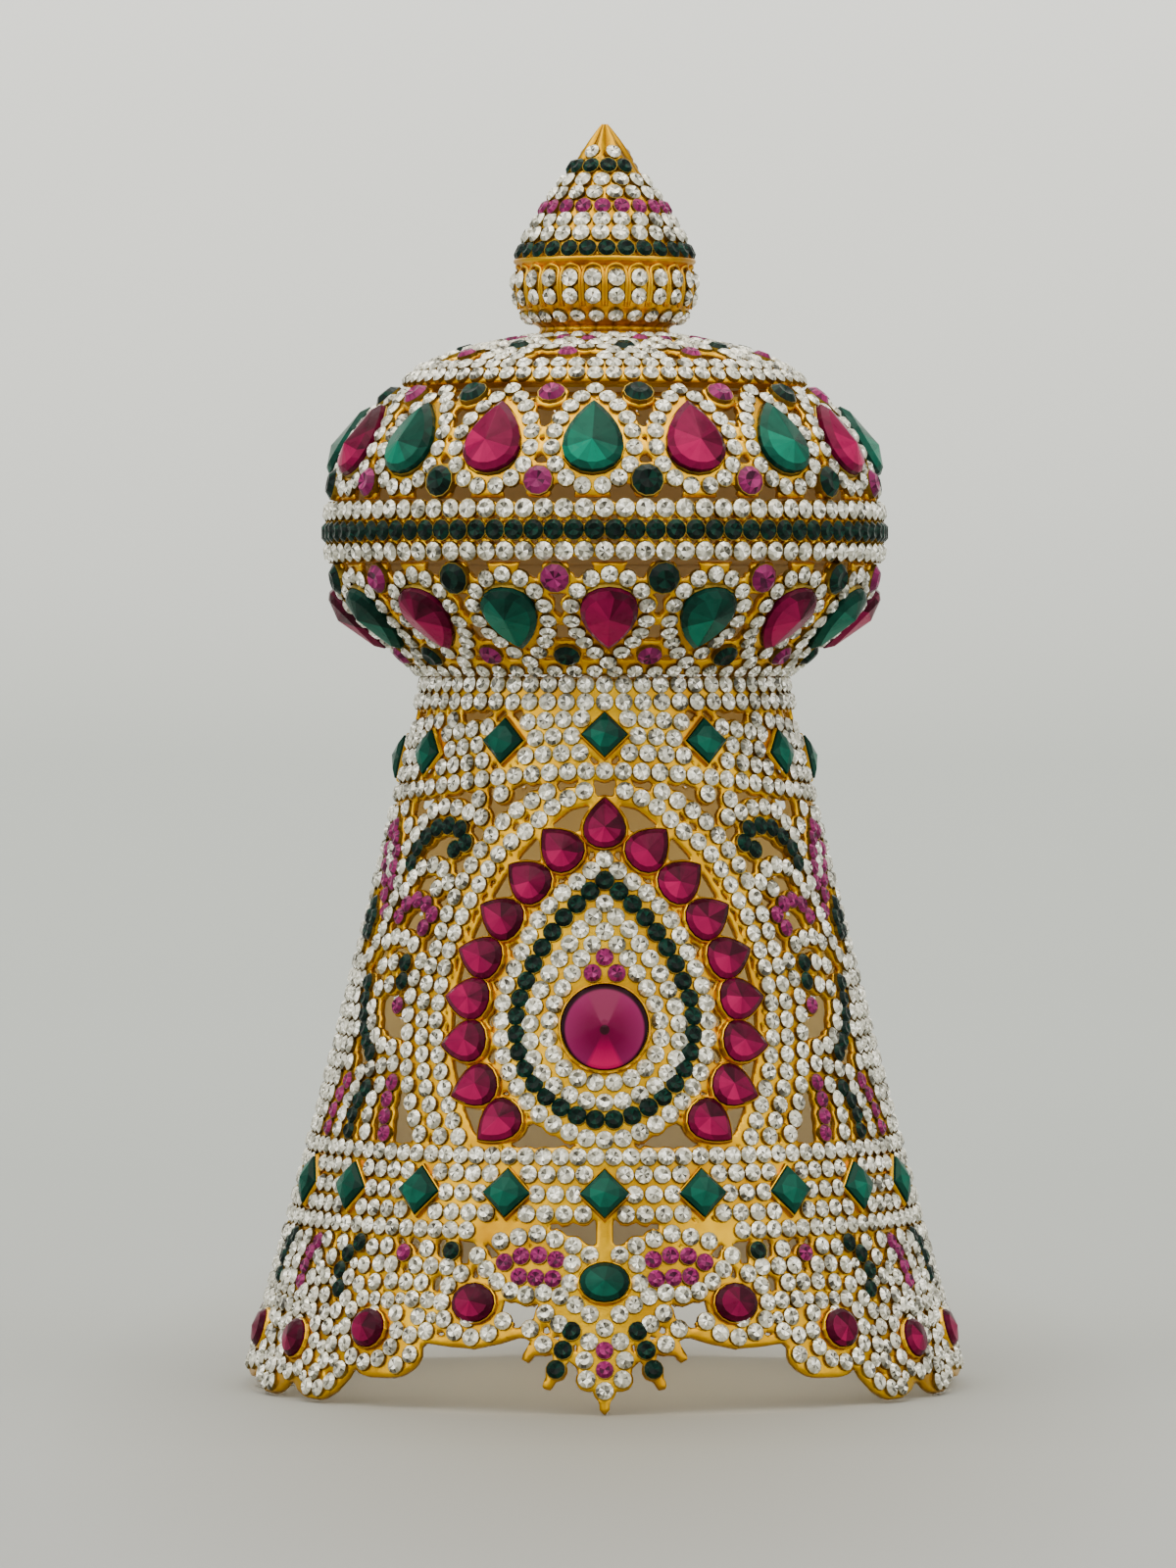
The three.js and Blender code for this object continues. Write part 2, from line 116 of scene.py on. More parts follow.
skirt = Turned([(skirtRadius(z), z) for z in np.linspace(skirtShape["bottom"], skirtShape["top"], 24)], 2)
domeLower = Turned([(33.0, 128.6), (35.2, 130.7), (39.1, 134.4), (44.6, 139.0), (47.9, 143.6), (49.3, 148.6)])
equator = Turned([(49.5, 148.6), (50.0, 151.5), (50.1, 154.5), (50.0, 157.5), (49.5, 160.2)])
domeUpper = Turned([(49.4, 160.2), (48.4, 165.0), (46.4, 169.9), (43.3, 174.4), (39.3, 178.3), (35.1, 181.2)])
capTop = Turned([(36.3, 181.1), (34.6, 182.9), (31.4, 184.8), (26.0, 186.8), (19.0, 188.5), (11.8, 189.7)])


def newObject(name, points, faces, material, smooth=False, tone=None):
    mesh = bpy.data.meshes.new(name)
    points = np.asarray(points, float) * mm
    mesh.vertices.add(len(points))
    mesh.vertices.foreach_set("co", points.astype(np.float32).ravel())
    sizes = np.array([len(f) for f in faces], np.int32)
    mesh.loops.add(int(sizes.sum()))
    mesh.loops.foreach_set("vertex_index", np.concatenate([np.asarray(f, np.int32) for f in faces]))
    mesh.polygons.add(len(faces))
    mesh.polygons.foreach_set("loop_start", np.concatenate([[0], np.cumsum(sizes)[:-1]]).astype(np.int32))
    mesh.update(calc_edges=True)
    mesh.validate()
    mesh.polygons.foreach_set("use_smooth", np.full(len(mesh.polygons), smooth))
    if tone is not None:
        domain = "FACE" if len(tone) == len(mesh.polygons) else "POINT"
        mesh.attributes.new("glint", "FLOAT", domain).data.foreach_set("value", np.asarray(tone, np.float32))
    mesh.materials.append(material)
    obj = bpy.data.objects.new(name, mesh)
    bpy.context.scene.collection.objects.link(obj)
    return obj


# Gathers many small closed shapes into one mesh.
class Batch:
    def __init__(self):
        self.points, self.faces, self.tone, self.count = [], [], [], 0

    def add(self, points, faces, tone=None):
        self.points.append(np.asarray(points, float))
        self.faces += [[i + self.count for i in f] for f in faces]
        self.tone += list(tone) if tone is not None else [0.5] * len(faces)
        self.count += len(points)

    def stamp(self, template, faces, surface, angle, s, size, lift, spin=None, tone=None):
        if len(angle) == 0:
            return
        place, across, upward, outward = surface.frames(angle, s)
        spin = np.zeros(len(angle)) if spin is None else np.asarray(spin)
        c, sn = np.cos(spin)[:, None], np.sin(spin)[:, None]
        x, y = across * c + upward * sn, upward * c - across * sn
        t = np.asarray(template, float)[None] * np.asarray(size, float).reshape(-1, 1, 1)
        seat = (place + outward * np.asarray(lift).reshape(-1, 1))[:, None]
        pts = seat + t[..., 0:1] * x[:, None] + t[..., 1:2] * y[:, None] + t[..., 2:3] * outward[:, None]
        for k in range(len(angle)):
            self.add(pts[k], faces, None if tone is None else tone[k])

    def build(self, name, material, smooth=False):
        return newObject(name, np.concatenate(self.points), self.faces, material, smooth, self.tone)


def joined(low, high, n):
    # quads between two rings of n points, each given by the number of its first point
    return [[low + i, low + (i + 1) % n, high + (i + 1) % n, high + i] for i in range(n)]


def rings(levels):
    # a closed body of stacked rings of equal count, counted up from the lowest
    n = len(levels[0])
    points = [p for level in levels for p in level]
    faces = []
    for low in range(0, len(points) - n, n):
        faces += joined(low, low + n, n)
    faces.append(list(range(n - 1, -1, -1)))
    faces.append([len(points) - n + i for i in range(n)])
    return points, faces


def circle(n, r, z, turn=0.0):
    return [(r * math.cos(2 * math.pi * (k + turn) / n), r * math.sin(2 * math.pi * (k + turn) / n), z)
            for k in range(n)]


def fan(points, faces, ring, tip):
    points.append(tip)
    for first, second in zip(ring, ring[1:] + ring[:1]):
        faces.append([first, second, len(points) - 1])


# Small round stone of unit diameter: a faceted crown, a table and a shallow star seen through it.
chaton = {"sides": 12, "girdle": 0.5, "table": 0.3, "seat": 0.13, "top": 0.31, "star": 0.25}


def chatonShape():
    c = chaton
    low, high = circle(c["sides"], c["girdle"], c["seat"]), circle(c["sides"], c["table"], c["top"], 0.5)
    points, faces = list(low) + list(high), []
    n = c["sides"]
    for i in range(n):
        j = (i + 1) % n
        faces.append([i, j, n + i])
        faces.append([j, n + j, n + i])
    fan(points, faces, [n + i for i in range(n)], (0, 0, c["star"]))
    faces.append(list(range(n - 1, -1, -1)))
    middles = [np.mean([points[k] for k in face], axis=0) for face in faces]
    leans = np.array([math.atan2(middle[1], middle[0]) for middle in middles])
    return points, faces, [0] * (2 * n) + [1] * n + [0], leans  # kinds: 1 in the star, 0 elsewhere


# The low cup that it stands in.
cup = {"sides": 12, "foot": -0.15, "outer": 0.55, "top": 0.12, "lip": 0.53, "lift": 0.1}


def cupShape():
    c = cup
    return rings([circle(c["sides"], c["outer"], c["foot"]), circle(c["sides"], c["lip"], c["top"])])


def pearOutline(length, width, n, taper=0.8):
    # tip up, anticlockwise; more taper draws the tip out
    t = 2 * np.pi * np.arange(n) / n
    x = -np.sin(t) * np.abs(np.sin(t / 2)) ** taper
    return np.stack([x * width / 2 / np.abs(x).max(), length / 2 * np.cos(t)], -1)


def ovalOutline(across, up, n):
    t = 2 * np.pi * np.arange(n) / n
    return np.stack([across / 2 * np.cos(t), up / 2 * np.sin(t)], -1)


def diamondOutline(size, perSide=1):
    corners = np.array([(size / 2, 0), (0, size / 2), (-size / 2, 0), (0, -size / 2)])
    out = []
    for k in range(4):
        a, b = corners[k], corners[(k + 1) % 4]
        out += [a + (b - a) * t / perSide for t in range(perSide)]
    return np.array(out)


def outward(outline, by):
    # the outline moved out along its own normals
    after, before = np.roll(outline, -1, 0), np.roll(outline, 1, 0)
    e1, e2 = outline - before, after - outline
    n1 = np.stack([e1[:, 1], -e1[:, 0]], -1) / np.maximum(np.linalg.norm(e1, axis=1, keepdims=True), 1e-9)
    n2 = np.stack([e2[:, 1], -e2[:, 0]], -1) / np.maximum(np.linalg.norm(e2, axis=1, keepdims=True), 1e-9)
    n = n1 + n2
    n /= np.maximum(np.linalg.norm(n, axis=1, keepdims=True), 1e-9)
    spread = np.clip((n * n1).sum(1, keepdims=True), 0.62, 1)
    return outline + n * by / spread


def gemShape(outline, girdle, height, apex=(0, 0), shoulder=0.8, shoulderHeight=0.5, dot=0.0):
    # kinds of facet: 0 girdle, 1 crown, 2 table, 3 the dot and the foot
    apex = np.array(apex, float)
    n = len(outline)
    inner = apex + (outline - apex) * shoulder
    inner = (inner + np.roll(inner, -1, 0)) / 2
    zMid = girdle + (height - girdle) * shoulderHeight
    points = [(x, y, 0) for x, y in outline] + [(x, y, girdle) for x, y in outline]
    points += [(x, y, zMid) for x, y in inner]
    faces = []
    for i in range(n):
        j = (i + 1) % n
        faces.append([i, j, n + j, n + i])
        faces.append([n + i, n + j, 2 * n + i])
        faces.append([n + j, 2 * n + j, 2 * n + i])
    kinds = [0, 1, 1] * n + [2] * n
    if dot:
        ring = [(apex[0] + (x - apex[0]) * dot, apex[1] + (y - apex[1]) * dot, height) for x, y in inner]
        points += ring
        faces += joined(2 * n, 3 * n, n)
        fan(points, faces, [3 * n + i for i in range(n)], (apex[0], apex[1], height - 0.05))
    else:
        fan(points, faces, [2 * n + i for i in range(n)], (apex[0], apex[1], height))
    faces.append(list(range(n - 1, -1, -1)))
    kinds += [3] * (len(faces) - len(kinds))
    return points, faces, kinds


def bezelShape(outline, gap, width, top, foot=-0.9):
    # a rolled collar: up the inside, over a rounded lip and down to the casting
    levels = [(gap, foot), (gap, top - 0.25), (gap + width * 0.25, top), (gap + width * 0.6, top - 0.12),
              (gap + width, top - 0.6), (gap + width * 1.15, foot)]
    n = len(outline)
    points = [(x, y, z) for off, z in levels for x, y in outward(outline, off)]
    faces = []
    for low in range(0, len(points), n):
        high = (low + n) % len(points)
        faces += [[low + (i + 1) % n, low + i, high + i, high + (i + 1) % n] for i in range(n)]
    return points, faces


# One zone of the crown: where its stones stand, and the pierced gold between them.
class Zone:
    def __init__(self, name, surface, gold=None):
        self.name, self.surface, self.gold = name, surface, gold
        self.stones = []  # (colour, angle, s, diameter)
        self.gems = []  # (colour, angle, s, turn, outline, girdle, height, apex, options)
        self.solids = []  # areas kept as gold: (angle, s, outline in millimetres about that place, growth)
        self.windows = []  # openings, in the same form

    def stone(self, colour, angle, s, size=smallStone):
        self.stones.append((colour, float(angle), float(s), size))

    def pair(self, colour, angle, s, size=smallStone):
        self.stone(colour, angle, s, size)
        self.stone(colour, -angle, s, size)

    def clear(self, angle, s, reach):
        scale = self.surface.perDegree(s)
        return all(math.hypot((a - angle) * scale, b - s) > reach for _, a, b, _ in self.stones)

    def strip(self, angle, s, half, grow):
        # gold kept in a line round the crown
        self.solids.append((angle, s, np.array([(-half, 0), (half, 0)]), grow))

    def spaced(self, points, pitch, closed=False):
        # even places on a smooth path through (angle, z) points
        pts = np.array(points, float)
        pts[:, 1] = self.surface.along(pts[:, 1])
        if len(pts) == 1:
            return [pts[0]]
        fine = self.smooth(pts, closed)
        scale = self.surface.perDegree(fine[:, 1])
        step = np.hypot(np.diff(fine[:, 0]) * (scale[1:] + scale[:-1]) / 2, np.diff(fine[:, 1]))
        run = np.concatenate([[0], np.cumsum(step)])
        count = max(int(round(run[-1] / pitch)), 1)
        marks = np.arange(count + (0 if closed else 1)) * run[-1] / count
        return list(zip(np.interp(marks, run, fine[:, 0]), np.interp(marks, run, fine[:, 1])))

    def path(self, colour, points, pitch=3.2, size=smallStone):
        for a, s in self.spaced(points, pitch):
            if self.clear(a, s, 0.5):
                self.pair(colour, a, s, size)

    def smooth(self, pts, closed=False):
        if len(pts) < 3 and not closed:
            return np.array([pts[0] + (pts[-1] - pts[0]) * t for t in np.linspace(0, 1, 20)])
        return curveThrough(pts, 12, closed)

    # a closed loop given by its right half, from the top down to the bottom
    def loop(self, colour, half, pitch=3.24, size=smallStone):
        left = [(-a, z) for a, z in half[::-1] if abs(a) > 0.4]
        for a, s in self.spaced(list(half) + left, pitch, True):
            self.stone(colour, a, s, size)

    def fill(self, colour, corners, pitch=3.3, reach=2.9):
        # more stones in open rows over an area of (angle, z) corners, clear of the others and of the seam
        area = np.array(corners, float)
        area[:, 1] = self.surface.along(area[:, 1])
        s, k = area[:, 1].min() + 0.5, 0
        while s < area[:, 1].max():
            step = pitch / self.surface.perDegree(s)
            a = area[:, 0].min() + (0.5 * step if k % 2 else 0)
            while a < min(area[:, 0].max(), 90 - 0.47 * step):
                if polygonDistance(np.array([a]), np.array([s]), area)[0] < 0 and self.clear(a, s, reach):
                    self.pair(colour, a, s)
                a += step
            s += pitch * 0.92
            k += 1

    def pack(self, colour, corners, reach=2.95, size=smallStone, step=0.35):
        # a stone wherever one still fits between the others, the large stones and the seam
        area = np.array(corners, float)
        area[:, 1] = self.surface.along(area[:, 1])
        for s in np.arange(area[:, 1].min(), area[:, 1].max(), step):
            scale = self.surface.perDegree(s)
            last = min(area[:, 0].max(), 90 - 1.55 / scale)
            row = np.arange(last, area[:, 0].min(), -step / scale)
            free = polygonDistance(row, np.full(len(row), s), area) < 0
            for _, angle, at, turn, outline, *_ in self.gems:
                if abs(at - s) < 12:
                    shape = turnedBy(outline, turn)
                    away = polygonDistance((row - angle) * scale, np.full(len(row), s - at), shape)
                    free &= away > size / 2 + 0.35
            for a in row[free]:
                if self.clear(a, s, reach):
                    self.pair(colour, a, s, size)


# Signed distance to a polygon in local millimetres, negative inside.
def polygonDistance(px, py, poly):
    best = np.full(px.shape, 1e9)
    hit = np.zeros(px.shape, bool)
    for k in range(len(poly)):
        (x1, y1), (x2, y2) = poly[k - 1], poly[k]
        ex, ey = x2 - x1, y2 - y1
        t = np.clip(((px - x1) * ex + (py - y1) * ey) / max(ex * ex + ey * ey, 1e-12), 0, 1)
        best = np.minimum(best, np.hypot(px - x1 - t * ex, py - y1 - t * ey))
        crosses = (y1 > py) != (y2 > py)
        with np.errstate(divide="ignore", invalid="ignore"):
            hit ^= crosses & (px < ex * (py - y1) / (ey if ey else 1e-12) + x1)
    return np.where(hit, -best, best)


# The pierced gold of a zone, as a closed sheet.
plateValues = {"keep": 1.9, "blend": 3.6, "thick": 1.2, "edgeDrop": 0.22}


def piercedPlate(zone, name, fromAngle, toAngle, fromS, toS, cell, relief=None, whole=False, keep=None):
    surf = zone.surface
    middle = surf.radius((fromS + toS) / 2)
    na = int(math.ceil((toAngle - fromAngle) * degree * middle / cell))
    ns = int(math.ceil((toS - fromS) / cell))
    a = np.linspace(fromAngle, toAngle, na + 1)
    s = np.linspace(fromS, toS, ns + 1)
    gridA, gridS = np.meshgrid(a, s)
    r = surf.perDegree(s)
    total = np.full(gridA.shape, 1e-9)
    blend = plateValues["blend"]
    margin = (plateValues["keep"] if keep is None else keep) - 1.5

    def window(angle, at, reach):
        i0, i1 = np.searchsorted(s, at - reach), np.searchsorted(s, at + reach)
        if i0 >= i1:
            return None
        span = reach / r[max(min((i0 + i1) // 2, ns), 0)]
        j0, j1 = np.searchsorted(a, angle - span), np.searchsorted(a, angle + span)
        if j0 >= j1:
            return None
        return slice(i0, i1), slice(j0, j1)

    def local(box, angle, at):
        return (gridA[box] - angle) * r[box[0]][:, None], gridS[box] - at

    turns = (0, 360, -360) if whole else (0,)
    for _, angle, at, size in zone.stones:
        far = size / 2 + margin
        for turn in turns:
            box = window(angle + turn, at, far + 2.2)
            if box:
                x, y = local(box, angle + turn, at)
                total[box] += np.exp(blend * (far - np.hypot(x, y)))
    field = np.log(total) / blend
    for shapes, sign in ((zone.solids, 1), (zone.windows, -1)):  # windows last, so they stay open
        for angle, at, poly, grow in shapes:
            reach = np.abs(poly).max() * 1.5 + grow + 1.5
            for turn in turns:
                box = window(angle + turn, at, reach)
                if box:
                    x, y = local(box, angle + turn, at)
                    field[box] = sign * np.maximum(sign * field[box], grow - polygonDistance(x, y, poly))
    return sheetFrom(name, zone, a, s, field, relief, whole)


def sheetFrom(name, zone, a, s, field, relief, whole):
    surf = zone.surface
    ns, na = len(s) - 1, len(a) - 1
    inner = field > 0
    if whole:
        inner[:, -1] = inner[:, 0]
        field[:, -1] = field[:, 0]
    index, pa, ps = {}, [], []

    def corner(i, j):
        key = (i, 0 if whole and j == na else j)
        if key not in index:
            index[key] = len(pa)
            pa.append(a[key[1]])
            ps.append(s[i])
        return index[key]

    def crossing(i0, j0, i1, j1):
        w0 = (i0, j0 % na if whole else j0)
        w1 = (i1, j1 % na if whole else j1)
        key = (w0, w1) if w0 < w1 else (w1, w0)
        if key not in index:
            f0, f1 = field[i0, j0], field[i1, j1]
            t = min(max(f0 / (f0 - f1), 0.06), 0.94)
            index[key] = len(pa)
            pa.append(a[j0] + (a[j1] - a[j0]) * t)
            ps.append(s[i0] + (s[i1] - s[i0]) * t)
        return index[key]

    faces = []
    some = inner[:-1, :-1] | inner[1:, :-1] | inner[:-1, 1:] | inner[1:, 1:]
    for i, j in zip(*np.nonzero(some)):
        corners = [(i, j), (i, j + 1), (i + 1, j + 1), (i + 1, j)]
        flags = [inner[c] for c in corners]
        if all(flags):
            faces.append([corner(*c) for c in corners])
            continue
        if flags[0] == flags[2] and flags[1] == flags[3]:  # two opposite corners: two small pieces
            for k in range(4):
                if flags[k]:
                    before, after = corners[k - 1], corners[(k + 1) % 4]
                    faces.append([crossing(*before, *corners[k]), corner(*corners[k]),
                                  crossing(*corners[k], *after)])
            continue
        poly = []
        for k in range(4):
            c, d = corners[k], corners[(k + 1) % 4]
            if flags[k]:
                poly.append(corner(*c))
            if flags[k] != flags[(k + 1) % 4]:
                poly.append(crossing(*c, *d))
        faces.append(poly)
    pa, ps = np.array(pa), np.array(ps)
    used = {(f[k - 1], f[k]) for f in faces for k in range(len(f))}
    border = [(p, q) for p, q in used if (q, p) not in used]
    onBorder = np.zeros(len(pa), bool)
    onBorder[np.array(border).ravel()] = True
    lift = np.zeros(len(pa)) if relief is None else relief(pa, ps)
    lift = lift - np.where(onBorder, plateValues["edgeDrop"], 0)
    top = surf.point(pa, ps, lift)
    low = surf.point(pa, ps, np.full(len(pa), -plateValues["thick"]))
    n = len(pa)
    walls = [[q, p, n + p, n + q] for p, q in border]
    allFaces = faces + [[n + i for i in reversed(f)] for f in faces] + walls
    lining = [0.0] * len(faces) + [1.0] * len(faces) + [0.0] * len(border)
    return newObject(name, np.vstack([top, low]), allFaces, zone.gold, smooth=True, tone=lining)


# Wraps a shader socket, so values combine with plain operators.
class Socket:
    def __init__(self, tree, socket):
        self.tree, self.socket = tree, socket

    def combine(self, operation, other, swap=False):
        node = self.tree.nodes.new("ShaderNodeMath")
        node.operation = operation
        pair = [other, self] if swap else [self, other]
        for entry, value in zip(node.inputs, pair):
            if isinstance(value, Socket):
                self.tree.links.new(value.socket, entry)
            else:
                entry.default_value = value
        return Socket(self.tree, node.outputs[0])

    def __add__(self, other):
        return self.combine("ADD", other)

    def __radd__(self, other):
        return self.combine("ADD", other, True)

    def __sub__(self, other):
        return self.combine("SUBTRACT", other)

    def __rsub__(self, other):
        return self.combine("SUBTRACT", other, True)

    def __mul__(self, other):
        return self.combine("MULTIPLY", other)

    def __rmul__(self, other):
        return self.combine("MULTIPLY", other, True)

    def __truediv__(self, other):
        return self.combine("DIVIDE", other)

    def __rtruediv__(self, other):
        return self.combine("DIVIDE", other, True)


class Finish:
    def __init__(self, name, **constants):
        self.material = bpy.data.materials.new(name)
        self.material.use_nodes = True
        self.tree = self.material.node_tree
        self.shader = self.tree.nodes["Principled BSDF"]
        for key, value in constants.items():
            self.shader.inputs[key.replace("_", " ")].default_value = value

    def node(self, kind, settings=None, out=0, **values):
        made = self.tree.nodes.new(kind)
        for key, value in (settings or {}).items():
            if key == "stops":
                ramp = made.color_ramp
                while len(ramp.elements) < len(value):
                    ramp.elements.new(0.5)
                for element, (at, colour) in zip(ramp.elements, value):
                    element.position, element.color = at, (*colour, 1)
            else:
                setattr(made, key, value)
        for key, value in values.items():
            numbered = key[0] == "i" and key[1:].isdigit()  # i0, i1 and so on count the sockets
            entry = made.inputs[int(key[1:]) if numbered else key.replace("_", " ")]
            if isinstance(value, Socket):
                self.tree.links.new(value.socket, entry)
            else:
                entry.default_value = value
        return Socket(self.tree, made.outputs[out])

    def place(self):
        return self.node("ShaderNodeTexCoord", out=3)

    def mixColour(self, factor, first, second):
        pair = [c if isinstance(c, Socket) else (*c, 1) for c in (first, second)]
        return self.node("ShaderNodeMix", {"data_type": "RGBA"}, out=2, i0=factor, i6=pair[0], i7=pair[1])

    def feed(self, **inputs):
        for key, value in inputs.items():
            self.tree.links.new(value.socket, self.shader.inputs[key.replace("_", " ")])
        return self.material


goldLook = {"bright": (0.82, 0.455, 0.0), "deep": (0.53, 0.24, 0.0), "roughness": 0.3, "worn": 0.15,
            "grain": 0.3}
skirtGold = {**goldLook, "bright": (0.67, 0.37, 0.0), "deep": (0.42, 0.19, 0.0)}
# the cups' gold is much darker than the rest: painted shade round each stone, so each stone reads with a dark
# outline
cupShadeLook = {**goldLook, "bright": (0.34, 0.23, 0.03), "deep": (0.12, 0.07, 0.01), "roughness": 0.36,
           "worn": 0.2, "grain": 0.1}
# the inner side is matt gold; its change of colour with height is painted light, paler low down and browner
# higher up
liningTones = [  # the inner side, by height in metres
    (0.03, (0.55, 0.48, 0.35)), (0.075, (0.52, 0.42, 0.2)),
    (0.12, (0.42, 0.29, 0.11)), (0.15, (0.40, 0.28, 0.13))]
# on the finial the lining colour is painted shade, laid where finialBody darkens its grooves and its tip
ribLook = {**goldLook, "lining": [(0.0, (0.2, 0.085, 0.0)), (0.2, (0.2, 0.085, 0.0))], "dull": 0.0}


def polishedGold(name, look):
    gold = Finish(name, Metallic=1.0, Roughness=look["roughness"])
    place = gold.place()
    cloud = gold.node("ShaderNodeTexNoise", Vector=place, Scale=90.0, Detail=3.0, Roughness=0.6)
    fine = gold.node("ShaderNodeTexNoise", Vector=place, Scale=900.0, Detail=2.0)
    blotch = gold.node("ShaderNodeMapRange", Value=cloud, From_Min=0.35, From_Max=0.7)
    colour = gold.mixColour(blotch, look["bright"], look["deep"])
    rough = look["roughness"] + blotch * look["worn"] * 0.6
    if "lining" in look:
        # inner faces take the lining colours: a matt finish, with painted light by height on the plates and
        # painted shade on the finial
        within = gold.node("ShaderNodeAttribute", {"attribute_name": "glint"}, out=2)
        height = gold.node("ShaderNodeSeparateXYZ", Vector=place, out=2) * 5.0
        stops = [(z * 5, tone) for z, tone in look["lining"]]
        lining = gold.node("ShaderNodeValToRGB", {"stops": stops}, Fac=height)
        colour = gold.mixColour(within, colour, lining)
        rough = rough + within * 0.4 * look["dull"]
        gold.feed(Metallic=1.0 - within * 0.75 * look["dull"])
    bump = gold.node("ShaderNodeBump", Height=fine * 0.5 + cloud * 1.0, Strength=look["grain"],
                     Distance=0.0004)
    return gold.feed(Base_Color=colour, Roughness=rough, Normal=bump)


# facet colours of each glass, from its darkest to its brightest painted light
foilLooks = {
    "crystal": {"name": "clear crystal", "dark": (0.05, 0.045, 0.03), "mid": (0.43, 0.415, 0.32),
                "light": (0.98, 0.955, 0.79), "roughness": 0.14, "gloss": 0.5, "coat": 0.1, "metal": 0.3,
                "sparkle": 0.9},
    "forest": {"name": "forest green", "dark": (0.001, 0.004, 0.003), "mid": (0.002, 0.012, 0.008),
               "light": (0.004, 0.045, 0.028), "gloss": 0.1},
    "magenta": {"name": "magenta glass", "dark": (0.04, 0.002, 0.018), "mid": (0.16, 0.006, 0.066),
                "light": (0.38, 0.03, 0.17), "gloss": 0.15},
    "ruby": {"name": "ruby glass", "dark": (0.03, 0.0, 0.006), "mid": (0.20, 0.002, 0.045),
             "light": (0.48, 0.008, 0.10), "gloss": 0.08},
    "emerald": {"name": "emerald glass", "dark": (0.001, 0.014, 0.009), "mid": (0.003, 0.066, 0.042),
                "light": (0.004, 0.20, 0.12), "gloss": 0.08},
}
sparkleTint = (1.0, 0.985, 0.94)


def foilStone(look):
    # cut glass with foil behind it: each facet's share of the light is painted into its colour from its glint
    # tone
    rough, sparkle = look.get("roughness", 0.25), look.get("sparkle", 0.0)
    stone = Finish(look["name"], Roughness=rough, Coat_Weight=look.get("coat", 0.0), Coat_Roughness=0.05,
                   Specular_IOR_Level=look["gloss"], Metallic=look.get("metal", 0.0),
                   Emission_Strength=sparkle)
    glint = stone.node("ShaderNodeAttribute", {"attribute_name": "glint"}, out=2)
    haze = stone.node("ShaderNodeTexNoise", Vector=stone.place(), Scale=420.0, Detail=1.0)
    tone = glint + (haze - 0.5) * 0.25
    stops = [(0.0, look["dark"]), (0.45, look["mid"]), (1.0, look["light"])]
    colour = stone.node("ShaderNodeValToRGB", {"stops": stops}, Fac=tone)
    # the brightest facets glow with emitted light: a painted sparkle
    if sparkle:
        lit = stone.node("ShaderNodeMapRange", Value=tone, From_Min=0.9, From_Max=1.06)
        stone.feed(Emission_Color=stone.mixColour(lit, (0.0, 0.0, 0.0), sparkleTint))
    return stone.feed(Base_Color=colour, Roughness=rough + haze * 0.06)


goldSkirt = polishedGold("polished skirt gold", {**skirtGold, "lining": liningTones, "dull": 1.0})
goldDome = polishedGold("polished dome gold", {**goldLook, "lining": liningTones, "dull": 1.0})
goldBright = polishedGold("burnished gold", {**goldLook, "grain": 0.12})
cupShadeGold = polishedGold("shaded gold", cupShadeLook)
goldRibbed = polishedGold("ribbed gold", ribLook)
stoneLooks = {colour: foilStone(look) for colour, look in foilLooks.items()}
stoneSlots = {"crystal": "crystal", "forest": "emerald", "magenta": "magenta", "ruby": "ruby",
              "emerald": "emerald", "domedRuby": "ruby"}
# painted light for the domed stone: colour rings out from the middle, a painted reflection above, a painted
# glow below and painted shade at its rim
domedLook = {
    "height": 66.6, "radius": 7.7, "sector": (0.56, 0.4),
    "rings": [(0.0, (0.03, 0.008, 0.012)), (0.1, (0.035, 0.008, 0.014)), (0.125, (0.125, 0.001, 0.032)),
              (0.4, (0.135, 0.001, 0.036)), (0.75, (0.185, 0.007, 0.062)), (1.0, (0.215, 0.014, 0.082))],
    "above": (0.18, 0.022, 0.062), "below": (0.52, 0.001, 0.088), "rim": (0.012, 0.001, 0.004)}


def domedRuby():
    # painted light in the domed stone: a dark dot in the middle, a painted pale reflection above it, a
    # painted red glow below it and a painted dark edge
    look = domedLook
    size = 1000 / look["radius"]
    stone = Finish("domed ruby glass", Roughness=0.22, Specular_IOR_Level=0.06)
    middle = (0, 0, look["height"] * mm)
    local = stone.node("ShaderNodeVectorMath", {"operation": "SUBTRACT"}, i0=stone.place(), i1=middle)
    local = stone.node("ShaderNodeVectorMath", {"operation": "MULTIPLY"}, i0=local, i1=(size, 0, size))
    away = stone.node("ShaderNodeVectorMath", {"operation": "LENGTH"}, out=1, i0=local)
    across = stone.node("ShaderNodeSeparateXYZ", Vector=local, out=0)
    up = stone.node("ShaderNodeSeparateXYZ", Vector=local, out=2)
    across = stone.node("ShaderNodeMath", {"operation": "ABSOLUTE"}, i0=across)
    tall = stone.node("ShaderNodeMath", {"operation": "ABSOLUTE"}, i0=up)
    first, last = look["sector"]
    sector = stone.node("ShaderNodeMapRange", Value=across / (tall + 0.02), From_Min=first, From_Max=last)
    colour = stone.node("ShaderNodeValToRGB", {"stops": look["rings"]}, Fac=away)
    above = stone.node("ShaderNodeMapRange", Value=up, From_Min=0.1, From_Max=0.16, To_Max=0.8)
    below = stone.node("ShaderNodeMapRange", Value=up, From_Min=-0.12, From_Max=-0.75, To_Max=0.9)
    rim = stone.node("ShaderNodeMapRange", Value=away, From_Min=0.88, From_Max=0.93)
    colour = stone.mixColour(above * sector, colour, look["above"])
    colour = stone.mixColour(below * sector, colour, look["below"])
    return stone.feed(Base_Color=stone.mixColour(rim, colour, look["rim"]))


stoneLooks["domedRuby"] = domedRuby()
print("finishes ready")


